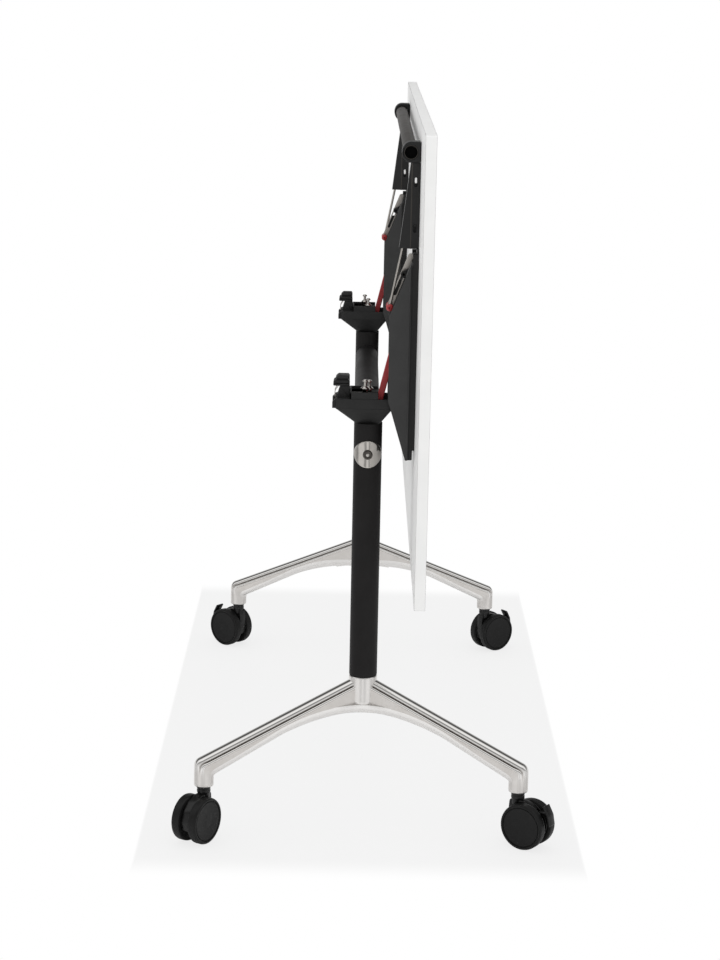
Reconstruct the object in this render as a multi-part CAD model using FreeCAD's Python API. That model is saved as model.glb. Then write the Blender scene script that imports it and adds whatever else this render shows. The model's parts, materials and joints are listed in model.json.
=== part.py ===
"""Flip-top training desk on two castered legs, shown with its top folded upright.

Millimetres, +Z up.  X runs along the desk, Y across it, and the user sits at -Y.
The origin is on the floor, midway between the two columns.  The folded top
stands on the +Y side with its work surface facing +Y, and swings through a
quarter turn about the hinge axis, which is parallel to X.
"""
import FreeCAD, Part
import math
import os

os.makedirs("parts", exist_ok=True)
V = FreeCAD.Vector

# Overall sizes
desk_height = 746.0          # floor to work surface, top down for use
top_length = 1400.0
top_depth = 680.0
top_thickness = 16.0
edge_thickness = 1.0
column_spacing = 908.0       # between the two column axes
socket_spacing = 1068.0      # between the caster sockets, along X
socket_half_span = 241.0     # from the middle to a caster socket, along Y

# Clearances
running_gap = 0.05           # radial, between turning pieces
seat_gap = 0.15              # radial, between fixed round pieces
open_gap = 0.3               # radial, at the pivot left loose
face_gap = 0.4               # between sliding flat faces
past = 1.0                   # how far a cutter runs past the face it opens
pick = 0.01                  # tolerance for picking an edge by its place

# Hinge
hinge_offset = 46.0          # hinge axis from the column axis, towards +Y
hinge_drop = 24.0            # underside of the top to the hinge axis
hinge_pin_radius = 5.0
hinge_boss_radius = 11.0
pin_head_radius = 7.0
pin_head_height = 2.5

# Columns and crossbar
column_radius = 21.5
column_wall = 2.5
column_foot = 242.0          # height of the column's lower end
spigot_length = 30.0
spigot_wall = 5.0
foot_chamfer = 1.5
crossbar_height = 595.0
crossbar_radius = 20.5
crossbar_wall = 2.0
crossbar_plug = 22.0
saddle_radius = 21.0
saddle_thickness = 3.0
bolt_radius = 4.0
bolt_head_radius = 7.5
bolt_head_height = 4.0
bolt_socket_radius = 3.5
bolt_socket_depth = 2.5
bolt_engagement = 14.0

# Base casting
arm_width = 29.0
arm_height = 35.0            # vertical, away from the hub
arm_top_fillet = 9.0
arm_low_fillet = 5.0
arm_corner_height = 132.0    # where the arm turns down into its socket
arm_corner_fillet = 13.0
hub_radius = 22.0
hub_depth = 56.5             # column foot down to the arch under the hub
hub_drop = 7.0               # arm ridge below the column foot, at the hub
arch_radius = 330.0
socket_radius = 15.0
socket_mouth = 84.5
socket_fillet = 2.0
stem_radius = 5.0
stem_insert = 30.0
base_bolt_radius = 5.0
base_bolt_head_radius = 8.5
base_bolt_head_height = 6.0
base_bolt_engagement = 24.0

# Head on top of each column
rim_drop = 25.0              # hinge axis down to the rim
rim_band = 15.0
funnel_height = 25.0
head_half_width = 32.0
head_front = -50.0
head_rear = 36.0
lip_length = 5.0
lip_inner = 18.0             # middle of the head to the inner end of each lip
lip_height = 10.0
head_corner = 6.0
tray_wall = 6.0
tray_depth = 12.0
tray_front = -26.0
deck_half_width = 31.0
deck_wall = 3.0
deck_rear = 14.0
deck_rise = 10.0             # rim up to the deck's walls
deck_recess = 4.5
ear_inner = 14.0
ear_thickness = 6.0
ear_front = 26.0
post_half_width = 13.0
post_front = -45.0
post_rear = -29.0
post_height = 17.0
keeper_front = -54.0
keeper_height = 15.7
keeper_half_width = 14.0
ridge_depth = 1.5
ridge_height = 2.2
ridge_count = 2
strip_width = 6.0
strip_thickness = 1.2
strip_spread = 9.0
screw_spread = 10.5
screw_row = -6.0
screw_stagger = 6.5          # between the two studs, along Y
screw_base_radius = 6.5
screw_waist_radius = 2.0
screw_cap_radius = 4.0
screw_cap_height = 3.3
screw_waist_height = 6.2
screw_cone_height = 4.3
screw_shank_radius = 4.0
screw_stand = 6.7            # deck up to the foot of the cone

# Hinge bracket and wing under the top, measured in the folded position
plate_thickness = 3.0
bracket_half_width = 36.0
bracket_below = 116.0        # hinge axis down to the bracket's lower end
bracket_above = 201.0
bracket_flange = 14.0        # depth of its side flanges
cheek_inner = 21.0
cheek_thickness = 3.0
cheek_reach = 30.0
wing_gap = 0.4
wing_wall = 3.0
wing_depth = 41.5            # underside of the top to the wing's flat edge
wing_flange_cover = 10.0     # underside of the top to where the wing stops
wing_flat_above = 103.5      # hinge axis up to the end of the flat edge
wing_flat_below = 26.0
wing_knee_below = 43.0
wing_knee_depth = 36.0
wing_tip_depth = 14.0
wing_slope = math.radians(21.5)
wing_window = 17.0           # half width of the gap in the upper bridge, for the release
lower_bridge_length = 52.0
upper_bridge_length = 24.0

# Red locking arm
lock_arm_radius = 4.8
lock_arm_half_width = 3.6
lock_arm_gap = 1.2
lock_tip_depth = 52.8        # underside of the top to the arm's rounded tip
lock_tip_below = 27.0
lock_bend_depth = 34.1
lock_bend_above = 51.0
lock_foot_height = 12.0

# Slotted link, knob and rod of the release
release_travel = 8.0         # handle travel towards the edge of the top
link_half_thickness = 1.5
link_radius = 4.4
link_length = 82.0
link_foot_depth = 41.5       # underside of the top to the knob's pin
link_foot_above = 112.0
link_slot_start = 21.0
link_slot_length = 57.0
link_slot_radius = 2.2
guide_pin_radius = 2.0
guide_pin_place = 54.0       # along the link, at rest
guide_ear_radius = 4.5
guide_ear_inner = 9.0
guide_ear_thickness = 3.0
guide_ear_reach = 16.0
knob_pin_radius = 2.5
knob_radius = 5.5
knob_offset = 13.0
rod_radius = 2.0
rod_side = 4.6               # rod's distance from the leg's middle plane
rod_eye_radius = 3.9
rod_eye_half_width = 2.4
rod_pin_radius = 2.0
rod_pin_depth = 21.5         # underside of the top to the rod's upper pin
rod_pin_above = 215.0

# Handle and its levers
handle_radius = 10.5
handle_wall = 2.0
handle_depth = 15.0          # underside of the top to the handle's axis
handle_above = 344.0         # hinge axis up to the handle's axis
block_height = 31.0
block_wall = 3.0
lever_half_width = 17.0
lever_wall = 2.0
lever_below_rod = 10.0
lever_top_depth = 14.0
lever_foot_depth = 29.0
plug_length = 12.0
plug_recess = 1.0
lever_slot_radius = 2.4
guide_half_width = 12.0
guide_wall = 2.5
guide_depth = 11.0
guide_pin_depth = 7.0        # underside of the top to the guide pins
guide_end_margin = 18.0
guide_upper_drop = 40.0      # handle's axis down to the upper guide pin
guide_lower_drop = 108.0

# Wood screws
wood_screw_radius = 2.2
wood_screw_depth = 11.0
wood_head_radius = 4.5
wood_head_height = 2.4
wood_row_below = 78.0
wood_row_above = 130.0
wood_half_spread = 12.0
guide_screw_inset = 10.0

# Casters
wheel_radius = 36.0
wheel_width = 14.9
wheel_rim_fillet = 3.0
wheel_dish_depth = 1.2
wheel_rim_width = 8.5        # rim around the dished face
hood_half_width = 7.2
hood_inset = 4.5             # hood inside the wheels' outline
hood_cut = 24.0              # height below which the hood is open
hood_side_gap = 0.4
sleeve_radius = 10.5
hood_rise = 1.0              # hood above the wheels
stem_depth = 10.0            # stem below the sleeve
trail = 19.0
axle_radius = 4.0
axle_end_gap = 2.0           # wheel left between the axle's bore and the dish
axle_float = 2.0             # bore beyond the axle's end
brake_half_width = 4.2
brake_tab_half_width = 8.4
brake_pivot_reach = 22.0
brake_pivot_rise = 20.0
brake_trunnion = 2.0
brake_boss = 5.0
brake_pocket_gap = 0.6
brake_wall = 3.2
brake_tip_reach = 32.0
brake_tip_rise = 37.0
brake_knee_reach = 40.0
brake_knee_rise = 22.5
brake_foot_reach = 43.0
brake_foot_rise = 6.0

# Which way each caster trails, in degrees about Z from +X, and whether it has a brake
casters = {
    "right_front": {"side": 1, "across": -1, "heading": -31.7, "brake": False},
    "right_rear": {"side": 1, "across": 1, "heading": 56.0, "brake": True},
    "left_front": {"side": -1, "across": -1, "heading": -130.0, "brake": True},
    "left_rear": {"side": -1, "across": 1, "heading": 126.0, "brake": True},
}

# Derived places
leg_x = column_spacing / 2
socket_x = socket_spacing / 2
hinge_z = desk_height - top_thickness - hinge_drop
hinge_y = hinge_offset
underside = hinge_y + hinge_drop
top_middle = hinge_y + hinge_z
wheel_dish_radius = wheel_radius - wheel_rim_width
hood_radius = wheel_radius - hood_inset
sleeve_foot = 2 * wheel_radius + hood_rise
stem_foot = sleeve_foot - stem_depth
rim_z = hinge_z - rim_drop
collar_z = rim_z - rim_band - funnel_height
tray_z = rim_z - tray_depth
deck_z = rim_z + deck_rise - deck_recess
plate_face = underside - plate_thickness
link_direction = V(0, math.sin(wing_slope), math.cos(wing_slope))
link_foot = V(0, underside - link_foot_depth, hinge_z + link_foot_above)
guide_place = link_foot + link_direction * guide_pin_place
rod_pin = V(0, underside - rod_pin_depth, hinge_z + rod_pin_above)
handle_axis = V(0, underside - handle_depth, hinge_z + handle_above)
lever_foot = rod_pin.z - lever_below_rod
lever_top = handle_axis.z - block_height / 2
guide_pins = [handle_axis.z - guide_upper_drop, handle_axis.z - guide_lower_drop]
guide_pin_y = underside - guide_pin_depth


def box(x0, x1, y0, y1, z0, z1):
    return Part.makeBox(x1 - x0, y1 - y0, z1 - z0, V(x0, y0, z0))


def rod_x(y, z, radius, x0, x1):
    """Cylinder along X."""
    return Part.makeCylinder(radius, x1 - x0, V(x0, y, z), V(1, 0, 0))


def rod_z(x, y, radius, z0, z1):
    """Upright cylinder."""
    return Part.makeCylinder(radius, z1 - z0, V(x, y, z0), V(0, 0, 1))


def rod_y(x, z, radius, y0, y1):
    """Cylinder along Y."""
    return Part.makeCylinder(radius, y1 - y0, V(x, y0, z), V(0, 1, 0))


def plate(points, x0, x1):
    """Flat plate: a closed outline in Y and Z, from x0 to x1."""
    corners = [V(x0, y, z) for y, z in points]
    face = Part.Face(Part.makePolygon(corners + corners[:1]))
    return face.extrude(V(x1 - x0, 0, 0))


def capsule(start, end, radius, x0, x1):
    """Flat bar with two round ends, between two points in Y and Z."""
    along = (end - start).normalize()
    side = V(0, -along.z, along.y) * radius
    corners = [start + side, end + side, end - side, start - side]
    bar = plate([(p.y, p.z) for p in corners], x0, x1)
    for point in (start, end):
        bar = bar.fuse(rod_x(point.y, point.z, radius, x0, x1))
    return bar.removeSplitter()


def hull_ear(centre, radius, base, x0, x1):
    """Ear: a round boss and straight sides to two base points in Y and Z, anticlockwise round it."""
    sides = []
    for point, turn in zip(base, (1, -1)):
        offset = V(0, point[0], point[1]) - centre
        angle = math.atan2(offset.z, offset.y) + turn * math.acos(radius / offset.Length)
        sides.append((centre.y + radius * math.cos(angle), centre.z + radius * math.sin(angle)))
    outline = [base[0], sides[0], sides[1], base[1]]
    return plate(outline, x0, x1).fuse(rod_x(centre.y, centre.z, radius, x0, x1)).removeSplitter()


def rounded_rectangle(x0, x1, y0, y1, radius, z):
    """Closed level wire: four quarter arcs joined by four straight sides."""
    edges = []
    corners = [(x1 - radius, y1 - radius, 0), (x0 + radius, y1 - radius, 90),
               (x0 + radius, y0 + radius, 180), (x1 - radius, y0 + radius, 270)]
    ends = []
    for cx, cy, start in corners:
        arc = [V(cx + radius * math.cos(math.radians(start + turn)),
                 cy + radius * math.sin(math.radians(start + turn)), z) for turn in (0, 45, 90)]
        ends.append(arc)
    for arc, following in zip(ends, ends[1:] + ends[:1]):
        edges.append(Part.Arc(*arc).toShape())
        edges.append(Part.LineSegment(arc[2], following[0]).toShape())
    return Part.Wire(edges)


def split_circle(radius, z, spans):
    """Closed wire of arcs on one circle, between the given angles in degrees."""
    edges = []
    for start, end in spans:
        angles = [math.radians(a) for a in (start, (start + end) / 2, end)]
        points = [V(radius * math.cos(a), radius * math.sin(a), z) for a in angles]
        edges.append(Part.Arc(*points).toShape())
    return Part.Wire(edges)


def moved(shape, x, y=0.0, z=0.0):
    copy = shape.copy()
    copy.translate(V(x, y, z))
    return copy


def mirrored(shape):
    return shape.mirror(V(0, 0, 0), V(1, 0, 0))


def save(name, *solids):
    shape = solids[0] if len(solids) == 1 else Part.makeCompound(list(solids))
    shape.exportStep("parts/" + name + ".step")


def save_pair(name, shape):
    """Right-hand piece in the leg's own frame, and its mirror image on the left leg."""
    right = moved(shape, leg_x)
    save(name + "_right", right)
    save(name + "_left", mirrored(right))


def save_both(name, solids):
    """One node with the solids of both legs."""
    right = [moved(solid, leg_x) for solid in solids]
    save(name, *(right + [mirrored(solid) for solid in right]))


def screw_places():
    """Wood screws of one leg, as X and Z."""
    places = []
    for x in (-wood_half_spread, wood_half_spread):
        for z in (hinge_z - wood_row_below, hinge_z + wood_row_above):
            places.append((x, z))
    for z in (guide_pins[0] + guide_end_margin - guide_screw_inset, (guide_pins[0] + guide_pins[1]) / 2):
        places.append((0.0, z))
    return places


def screw_holes(radius, y0, y1):
    return [rod_y(x, z, radius, y0, y1) for x, z in screw_places()]


def tabletop():
    half = top_length / 2 - edge_thickness
    low = top_middle - top_depth / 2 + edge_thickness
    high = top_middle + top_depth / 2 - edge_thickness
    board = box(-half, half, underside, underside + top_thickness, low, high)
    deep = underside + wood_screw_depth + past
    for hole in screw_holes(wood_screw_radius + seat_gap, underside - past, deep):
        for cutter in (moved(hole, leg_x), mirrored(moved(hole, leg_x))):
            board = board.cut(cutter)
    outer = box(-top_length / 2, top_length / 2, underside, underside + top_thickness,
                top_middle - top_depth / 2, top_middle + top_depth / 2)
    band = outer.cut(box(-half, half, underside - past, underside + top_thickness + past, low, high))
    save("tabletop", board)
    save("edge_band", band)


def wood_screws():
    screws = []
    for x, z in screw_places():
        start = plate_face - wood_head_height / 2
        shank = rod_y(x, z, wood_screw_radius, start, underside + wood_screw_depth)
        head = Part.makeSphere(wood_head_radius, V(x, plate_face, z)).common(
            rod_y(x, z, wood_head_radius, plate_face - wood_head_height, plate_face))
        screws.append(shank.fuse(head).removeSplitter())
    save_both("underside_screws", screws)


def hinge_bracket():
    """Steel channel under the top: base plate, two side flanges and two hinge cheeks."""
    low = hinge_z - bracket_below
    high = hinge_z + bracket_above
    slope_run = (bracket_flange - plate_thickness) / math.tan(wing_slope)
    shape = box(-bracket_half_width, bracket_half_width, plate_face, underside, low, high)
    flange = [(underside, low), (underside, high), (plate_face, high),
              (underside - bracket_flange, high - slope_run), (underside - bracket_flange, low)]
    for x in (-bracket_half_width, bracket_half_width - plate_thickness):
        shape = shape.fuse(plate(flange, x, x + plate_thickness))
    centre = V(0, hinge_y, hinge_z)
    base = [(plate_face, hinge_z + cheek_reach), (plate_face, hinge_z - cheek_reach)]
    for x in (-cheek_inner - cheek_thickness, cheek_inner):
        shape = shape.fuse(hull_ear(centre, hinge_boss_radius, base, x, x + cheek_thickness))
    outer = cheek_inner + cheek_thickness + past
    shape = shape.cut(rod_x(hinge_y, hinge_z, hinge_pin_radius + seat_gap, -outer, outer))
    base = [(plate_face, guide_place.z + guide_ear_reach), (plate_face, guide_place.z - guide_ear_reach)]
    outer = guide_ear_inner + guide_ear_thickness
    for x in (-outer, guide_ear_inner):
        shape = shape.fuse(hull_ear(guide_place, guide_ear_radius, base, x, x + guide_ear_thickness))
    bore = guide_pin_radius + seat_gap
    shape = shape.cut(rod_x(guide_place.y, guide_place.z, bore, -outer - past, outer + past))
    for hole in screw_holes(wood_screw_radius + seat_gap, plate_face - past, underside + past):
        shape = shape.cut(hole)
    return shape.removeSplitter()


def hinge_pin():
    outer = cheek_inner + cheek_thickness + running_gap
    pin = rod_x(hinge_y, hinge_z, hinge_pin_radius, -outer, outer)
    for x in (-outer - pin_head_height, outer):
        pin = pin.fuse(rod_x(hinge_y, hinge_z, pin_head_radius, x, x + pin_head_height))
    return pin.removeSplitter()


def wing_cover():
    """Six-sided cheek covers each side of the hinge, joined across by two sloping plates."""
    inner = bracket_half_width + wing_gap
    stop = underside - wing_flange_cover
    flat = underside - wing_depth
    top_run = (stop - flat) / math.tan(wing_slope)
    low = hinge_z - bracket_below
    knee = (underside - wing_knee_depth, hinge_z - wing_knee_below)
    tip = (underside - wing_tip_depth, low)
    outline = [(flat, hinge_z + wing_flat_above), (stop, hinge_z + wing_flat_above + top_run), (stop, low),
               tip, knee, (flat, hinge_z - wing_flat_below)]
    shape = plate(outline, -inner - wing_wall, -inner).fuse(plate(outline, inner, inner + wing_wall))
    start = V(0, tip[0], tip[1])
    along = (V(0, knee[0], knee[1]) - start).normalize()
    lower = wing_bridge(start, along, lower_bridge_length)
    upper_end = V(0, stop, hinge_z + wing_flat_above + top_run)
    upper = wing_bridge(upper_end - link_direction * upper_bridge_length, link_direction, upper_bridge_length)
    bounds = upper.BoundBox
    upper = upper.cut(box(-wing_window, wing_window, bounds.YMin - past, bounds.YMax + past,
                          bounds.ZMin - past, bounds.ZMax + past))
    shape = shape.fuse(lower).fuse(upper)
    inside = bracket_half_width - plate_thickness - wing_gap
    flange_edge = underside - bracket_flange - wing_gap
    bottom = low - past
    top = upper_end.z + past
    for x in (-inner, inside):
        shape = shape.cut(box(x, x + inner - inside, flange_edge, underside + past, bottom, top))
    shape = shape.cut(box(-inner, inner, plate_face - wing_gap, underside + past, bottom, top))
    return shape.removeSplitter()


def wing_bridge(start, along, length):
    """Sloping plate across both wings, flush with their outer edge, its thickness towards the top."""
    inward = V(0, along.z, -along.y) * wing_wall
    end = start + along * length
    outer = bracket_half_width + wing_gap + wing_wall
    return plate([(p.y, p.z) for p in (start, end, end + inward, start + inward)], -outer, outer)


def lock_arm():
    """Red bar from the bracket's plate, bent down to a round tip inside the head's tray."""
    tip = V(0, underside - lock_tip_depth, hinge_z - lock_tip_below)
    bend = V(0, underside - lock_bend_depth, hinge_z + lock_bend_above)
    bar = capsule(tip, bend, lock_arm_radius, -lock_arm_half_width, lock_arm_half_width)
    half = lock_foot_height / 2
    foot = box(-lock_arm_half_width, lock_arm_half_width, bend.y, plate_face, bend.z - half, bend.z + half)
    return bar.fuse(foot).removeSplitter()


def slotted_link():
    end = link_foot + link_direction * link_length
    link = capsule(link_foot, end, link_radius, -link_half_thickness, link_half_thickness)
    slot_start = link_foot + link_direction * link_slot_start
    slot_end = slot_start + link_direction * link_slot_length
    reach = link_half_thickness + past
    link = link.cut(capsule(slot_start, slot_end, link_slot_radius, -reach, reach))
    return link.cut(rod_x(link_foot.y, link_foot.z, knob_pin_radius + seat_gap, -reach, reach))


def link_guide_pin():
    reach = guide_ear_inner + guide_ear_thickness
    return rod_x(guide_place.y, guide_place.z, guide_pin_radius, -reach, reach)


def latch_knob():
    """Cross pin with a ball on each end, turned in one piece."""
    neck = knob_offset - math.sqrt(knob_radius ** 2 - knob_pin_radius ** 2)
    left = [V(-knob_offset - knob_radius, 0, 0), V(-knob_offset, knob_radius, 0),
            V(-neck, knob_pin_radius, 0)]
    right = [V(-point.x, point.y, 0) for point in reversed(left)]
    edges = [Part.Arc(*left).toShape(), Part.LineSegment(left[2], right[0]).toShape(),
             Part.Arc(*right).toShape(), Part.LineSegment(right[2], left[0]).toShape()]
    knob = Part.Face(Part.Wire(edges)).revolve(V(0, 0, 0), V(1, 0, 0), 360)
    return moved(knob, link_foot.x, link_foot.y, link_foot.z)


def release_rod():
    """Thin rod with an eye at each end: loose on the knob's pin, turning on the lever's pin."""
    along = rod_pin - link_foot
    shape = Part.makeCylinder(rod_radius, along.Length, link_foot + V(rod_side, 0, 0), along)
    holes = [(link_foot, knob_pin_radius + open_gap), (rod_pin, rod_pin_radius + running_gap)]
    x0 = rod_side - rod_eye_half_width
    x1 = rod_side + rod_eye_half_width
    for point, hole in holes:
        shape = shape.fuse(rod_x(point.y, point.z, rod_eye_radius, x0, x1))
    for point, hole in holes:
        shape = shape.cut(rod_x(point.y, point.z, hole, x0 - past, x1 + past))
    return shape.removeSplitter()


def release_lever():
    """Folded channel behind the handle: sloping web, two cheeks, two guide slots each."""
    back = underside - face_gap
    foot = (underside - lever_foot_depth, lever_foot)
    head = (underside - lever_top_depth, lever_top)
    outline = [foot, head, (back, lever_top), (back, lever_foot)]
    shape = plate(outline, -lever_half_width, lever_half_width)
    lean = math.atan2(head[0] - foot[0], head[1] - foot[1])
    wall_y = lever_wall / math.cos(lean)
    hollow = [(foot[0] + wall_y, foot[1] - past), (head[0] + wall_y, head[1] - lever_wall),
              (back + past, head[1] - lever_wall), (back + past, foot[1] - past)]
    inside = lever_half_width - lever_wall
    shape = shape.cut(plate(hollow, -inside, inside))
    reach = lever_half_width + past
    for z in guide_pins:
        low = V(0, guide_pin_y, z - release_travel - open_gap)
        high = V(0, guide_pin_y, z)
        shape = shape.cut(capsule(low, high, lever_slot_radius, -reach, reach))
    return shape


def lever_guide():
    """Small channel screwed under the top, with two cross pins that the lever's slots slide on."""
    high = guide_pins[0] + guide_end_margin
    low = guide_pins[1] - guide_end_margin
    shape = box(-guide_half_width, guide_half_width, plate_face, underside, low, high)
    for x in (-guide_half_width, guide_half_width - guide_wall):
        shape = shape.fuse(box(x, x + guide_wall, underside - guide_depth, underside, low, high))
    reach = lever_half_width + lever_wall / 2
    for z in guide_pins:
        shape = shape.fuse(rod_x(guide_pin_y, z, lever_slot_radius - open_gap, -reach, reach))
    for hole in screw_holes(wood_screw_radius + seat_gap, plate_face - past, underside + past):
        shape = shape.cut(hole)
    return shape.removeSplitter()


def handle_block():
    """Bearing block: round in front, square behind, bored for the handle tube."""
    half = lever_half_width
    outer = handle_radius + block_wall
    back = underside - face_gap
    shape = box(-half, half, handle_axis.y, back, lever_top, lever_top + block_height)
    nose = rod_x(handle_axis.y, handle_axis.z, outer, -half, half)
    nose = nose.fuse(box(-half, half, handle_axis.y - outer + block_wall, handle_axis.y, lever_top,
                         lever_top + block_height).common(
        rod_x(handle_axis.y, handle_axis.z, block_height / 2, -half, half)))
    shape = shape.fuse(nose)
    return shape.cut(rod_x(handle_axis.y, handle_axis.z, handle_radius + seat_gap, -half - past, half + past))


def handle_tube():
    half = leg_x + lever_half_width
    tube = rod_x(handle_axis.y, handle_axis.z, handle_radius, -half, half)
    bore = handle_radius - handle_wall
    return tube.cut(rod_x(handle_axis.y, handle_axis.z, bore, -half - past, half + past))


def handle_plug():
    end = lever_half_width - plug_recess
    return rod_x(handle_axis.y, handle_axis.z, handle_radius - handle_wall - seat_gap, end - plug_length, end)


def rod_cross_pin():
    inside = lever_half_width - lever_wall
    return rod_x(rod_pin.y, rod_pin.z, rod_pin_radius, -inside, inside)


def column():
    tube = rod_z(0, 0, column_radius, column_foot, collar_z)
    tube = tube.cut(rod_z(0, 0, column_radius - column_wall, column_foot - past, collar_z + past))
    rim = [edge for edge in tube.Edges if abs(edge.BoundBox.ZMax - column_foot) < pick
           and edge.BoundBox.XLength > 2 * column_radius - past]
    tube = tube.makeChamfer(foot_chamfer, rim)
    reach = column_radius + past
    return tube.cut(rod_x(0, crossbar_height, bolt_radius + seat_gap, -reach, reach))


def crossbar():
    """Tube between the columns, cut to their curve, with a solid threaded end at each."""
    tube = rod_x(0, crossbar_height, crossbar_radius, -leg_x, leg_x)
    hollow = leg_x - column_radius - crossbar_plug
    tube = tube.cut(rod_x(0, crossbar_height, crossbar_radius - crossbar_wall, -hollow, hollow))
    reach = crossbar_radius + past
    for x in (-leg_x, leg_x):
        saddle = column_radius + seat_gap
        tube = tube.cut(rod_z(x, 0, saddle, crossbar_height - reach, crossbar_height + reach))
    thread = leg_x - column_radius - bolt_engagement - past
    for start in (-leg_x, thread):
        tube = tube.cut(rod_x(0, crossbar_height, bolt_radius + seat_gap, start, start + leg_x - thread))
    return tube


def saddle_disc():
    """Round washer bent to the column's curve, on its outer side."""
    low = crossbar_height - saddle_radius - past
    high = crossbar_height + saddle_radius + past
    shell = rod_z(0, 0, column_radius + seat_gap + saddle_thickness, low, high)
    shell = shell.cut(rod_z(0, 0, column_radius + seat_gap, low - past, high + past))
    reach = column_radius + 2 * saddle_thickness
    disc = shell.common(rod_x(0, crossbar_height, saddle_radius, 0, reach))
    return disc.cut(rod_x(0, crossbar_height, bolt_radius + seat_gap, 0, reach))


def crossbar_bolt():
    seat = column_radius + seat_gap + saddle_thickness
    bolt = rod_x(0, crossbar_height, bolt_radius, -column_radius - bolt_engagement, seat)
    head = rod_x(0, crossbar_height, bolt_head_radius, seat, seat + bolt_head_height)
    top = [edge for edge in head.Edges if edge.BoundBox.XMin > seat + bolt_head_height - pick]
    head = head.makeFillet(bolt_head_height / 4, top)
    hexagon = [V(seat + bolt_head_height - bolt_socket_depth,
                 bolt_socket_radius * math.cos(math.radians(60 * i)),
                 crossbar_height + bolt_socket_radius * math.sin(math.radians(60 * i))) for i in range(7)]
    socket = Part.Face(Part.makePolygon(hexagon)).extrude(V(bolt_head_height, 0, 0))
    return bolt.fuse(head).cut(socket).removeSplitter()


def matching_edges(shape, edges):
    """Edges of the shape whose middles lie where the given edges have theirs."""
    places = [edge.BoundBox.Center for edge in edges]
    return [e for e in shape.Edges if any((e.BoundBox.Center - place).Length < past for place in places)]


def base_arm(across):
    """One arm: side outline in its own upright plane, widened, rounded and turned into place."""
    run = math.hypot(socket_x - leg_x, socket_half_span)
    ridge = column_foot - hub_drop
    outer = run + socket_radius
    slope = (ridge - arm_corner_height) / (run - hub_radius)
    arch = column_foot - hub_depth
    corner = ridge - slope * (outer - hub_radius)
    turn = math.atan(slope)
    inner = run - socket_radius
    bottom = ridge - slope * (inner - hub_radius) - arm_height
    arc_end_x = arch_radius * math.sin(turn)
    arc_end_z = arch - arch_radius * (1 - math.cos(turn))
    arc_mid_x = arch_radius * math.sin(turn / 2)
    arc_mid_z = arch - arch_radius * (1 - math.cos(turn / 2))
    points = [V(0, 0, ridge), V(hub_radius, 0, ridge), V(outer, 0, corner), V(outer, 0, bottom),
              V(inner, 0, bottom), V(arc_end_x, 0, arc_end_z)]
    edges = [Part.LineSegment(a, b).toShape() for a, b in zip(points, points[1:])]
    edges.append(Part.Arc(points[-1], V(arc_mid_x, 0, arc_mid_z), V(0, 0, arch)).toShape())
    edges.append(Part.LineSegment(V(0, 0, arch), points[0]).toShape())
    face = Part.Face(Part.Wire(edges))
    shape = face.extrude(V(0, arm_width, 0))
    shape.translate(V(0, -arm_width / 2, 0))
    outer_edge = [e for e in shape.Edges if e.BoundBox.XMin > outer - pick
                  and e.BoundBox.YLength > arm_width - past and e.BoundBox.ZMin > bottom + past]
    shape = shape.makeFillet(arm_corner_fillet, outer_edge)
    ridge_edges = []
    low_edges = []
    for edge in shape.Edges:
        bounds = edge.BoundBox
        if bounds.YLength > pick or bounds.XMax < hub_radius + past:
            continue
        middle = edge.valueAt((edge.FirstParameter + edge.LastParameter) / 2)
        above = ridge - slope * (middle.x - hub_radius) - arm_height / 2
        if middle.z > above or bounds.XMin > inner + past:
            ridge_edges.append(edge)
        elif bounds.ZMin > bottom - pick and bounds.XLength > past and bounds.XMax < inner + past:
            low_edges.append(edge)
    shape = shape.makeFillet(arm_top_fillet, ridge_edges)
    low_edges = matching_edges(shape, low_edges)
    shape = shape.makeFillet(arm_low_fillet, low_edges)
    heading = math.degrees(math.atan2(across * socket_half_span, socket_x - leg_x))
    shape.rotate(V(0, 0, 0), V(0, 0, 1), heading)
    return shape


def base():
    """Casting under one column: hub, two splayed arms and two sockets turned down for casters."""
    hub = rod_z(0, 0, hub_radius, column_foot - hub_depth, column_foot)
    shape = hub.fuse(rod_z(0, 0, column_radius - column_wall - seat_gap, column_foot - past,
                           column_foot + spigot_length))
    run = math.hypot(socket_x - leg_x, socket_half_span)
    ridge = column_foot - hub_drop
    slope = (ridge - arm_corner_height) / (run - hub_radius)
    for across in (-1, 1):
        shape = shape.fuse(base_arm(across))
    for across in (-1, 1):
        x = socket_x - leg_x
        y = across * socket_half_span
        level = ridge - slope * (run - hub_radius) - arm_corner_fillet
        socket = rod_z(x, y, socket_radius, socket_mouth, level)
        mouth = [e for e in socket.Edges if e.BoundBox.ZMax < socket_mouth + pick]
        shape = shape.fuse(socket.makeFillet(socket_fillet, mouth))
    for across in (-1, 1):
        shape = shape.cut(rod_z(socket_x - leg_x, across * socket_half_span, stem_radius + seat_gap,
                                socket_mouth - past, socket_mouth + stem_insert))
    floor = column_foot - hub_depth
    shape = shape.cut(rod_z(0, 0, base_bolt_head_radius + past, floor - past, floor + base_bolt_head_height))
    reach = column_foot + base_bolt_engagement
    return shape.cut(rod_z(0, 0, base_bolt_radius + seat_gap, floor, reach)).removeSplitter()


def base_bolt():
    floor = column_foot - hub_depth
    seat = floor + base_bolt_head_height
    shank = rod_z(0, 0, base_bolt_radius, seat - past, column_foot + base_bolt_engagement)
    return shank.fuse(rod_z(0, 0, base_bolt_head_radius, floor, seat)).removeSplitter()


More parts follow.
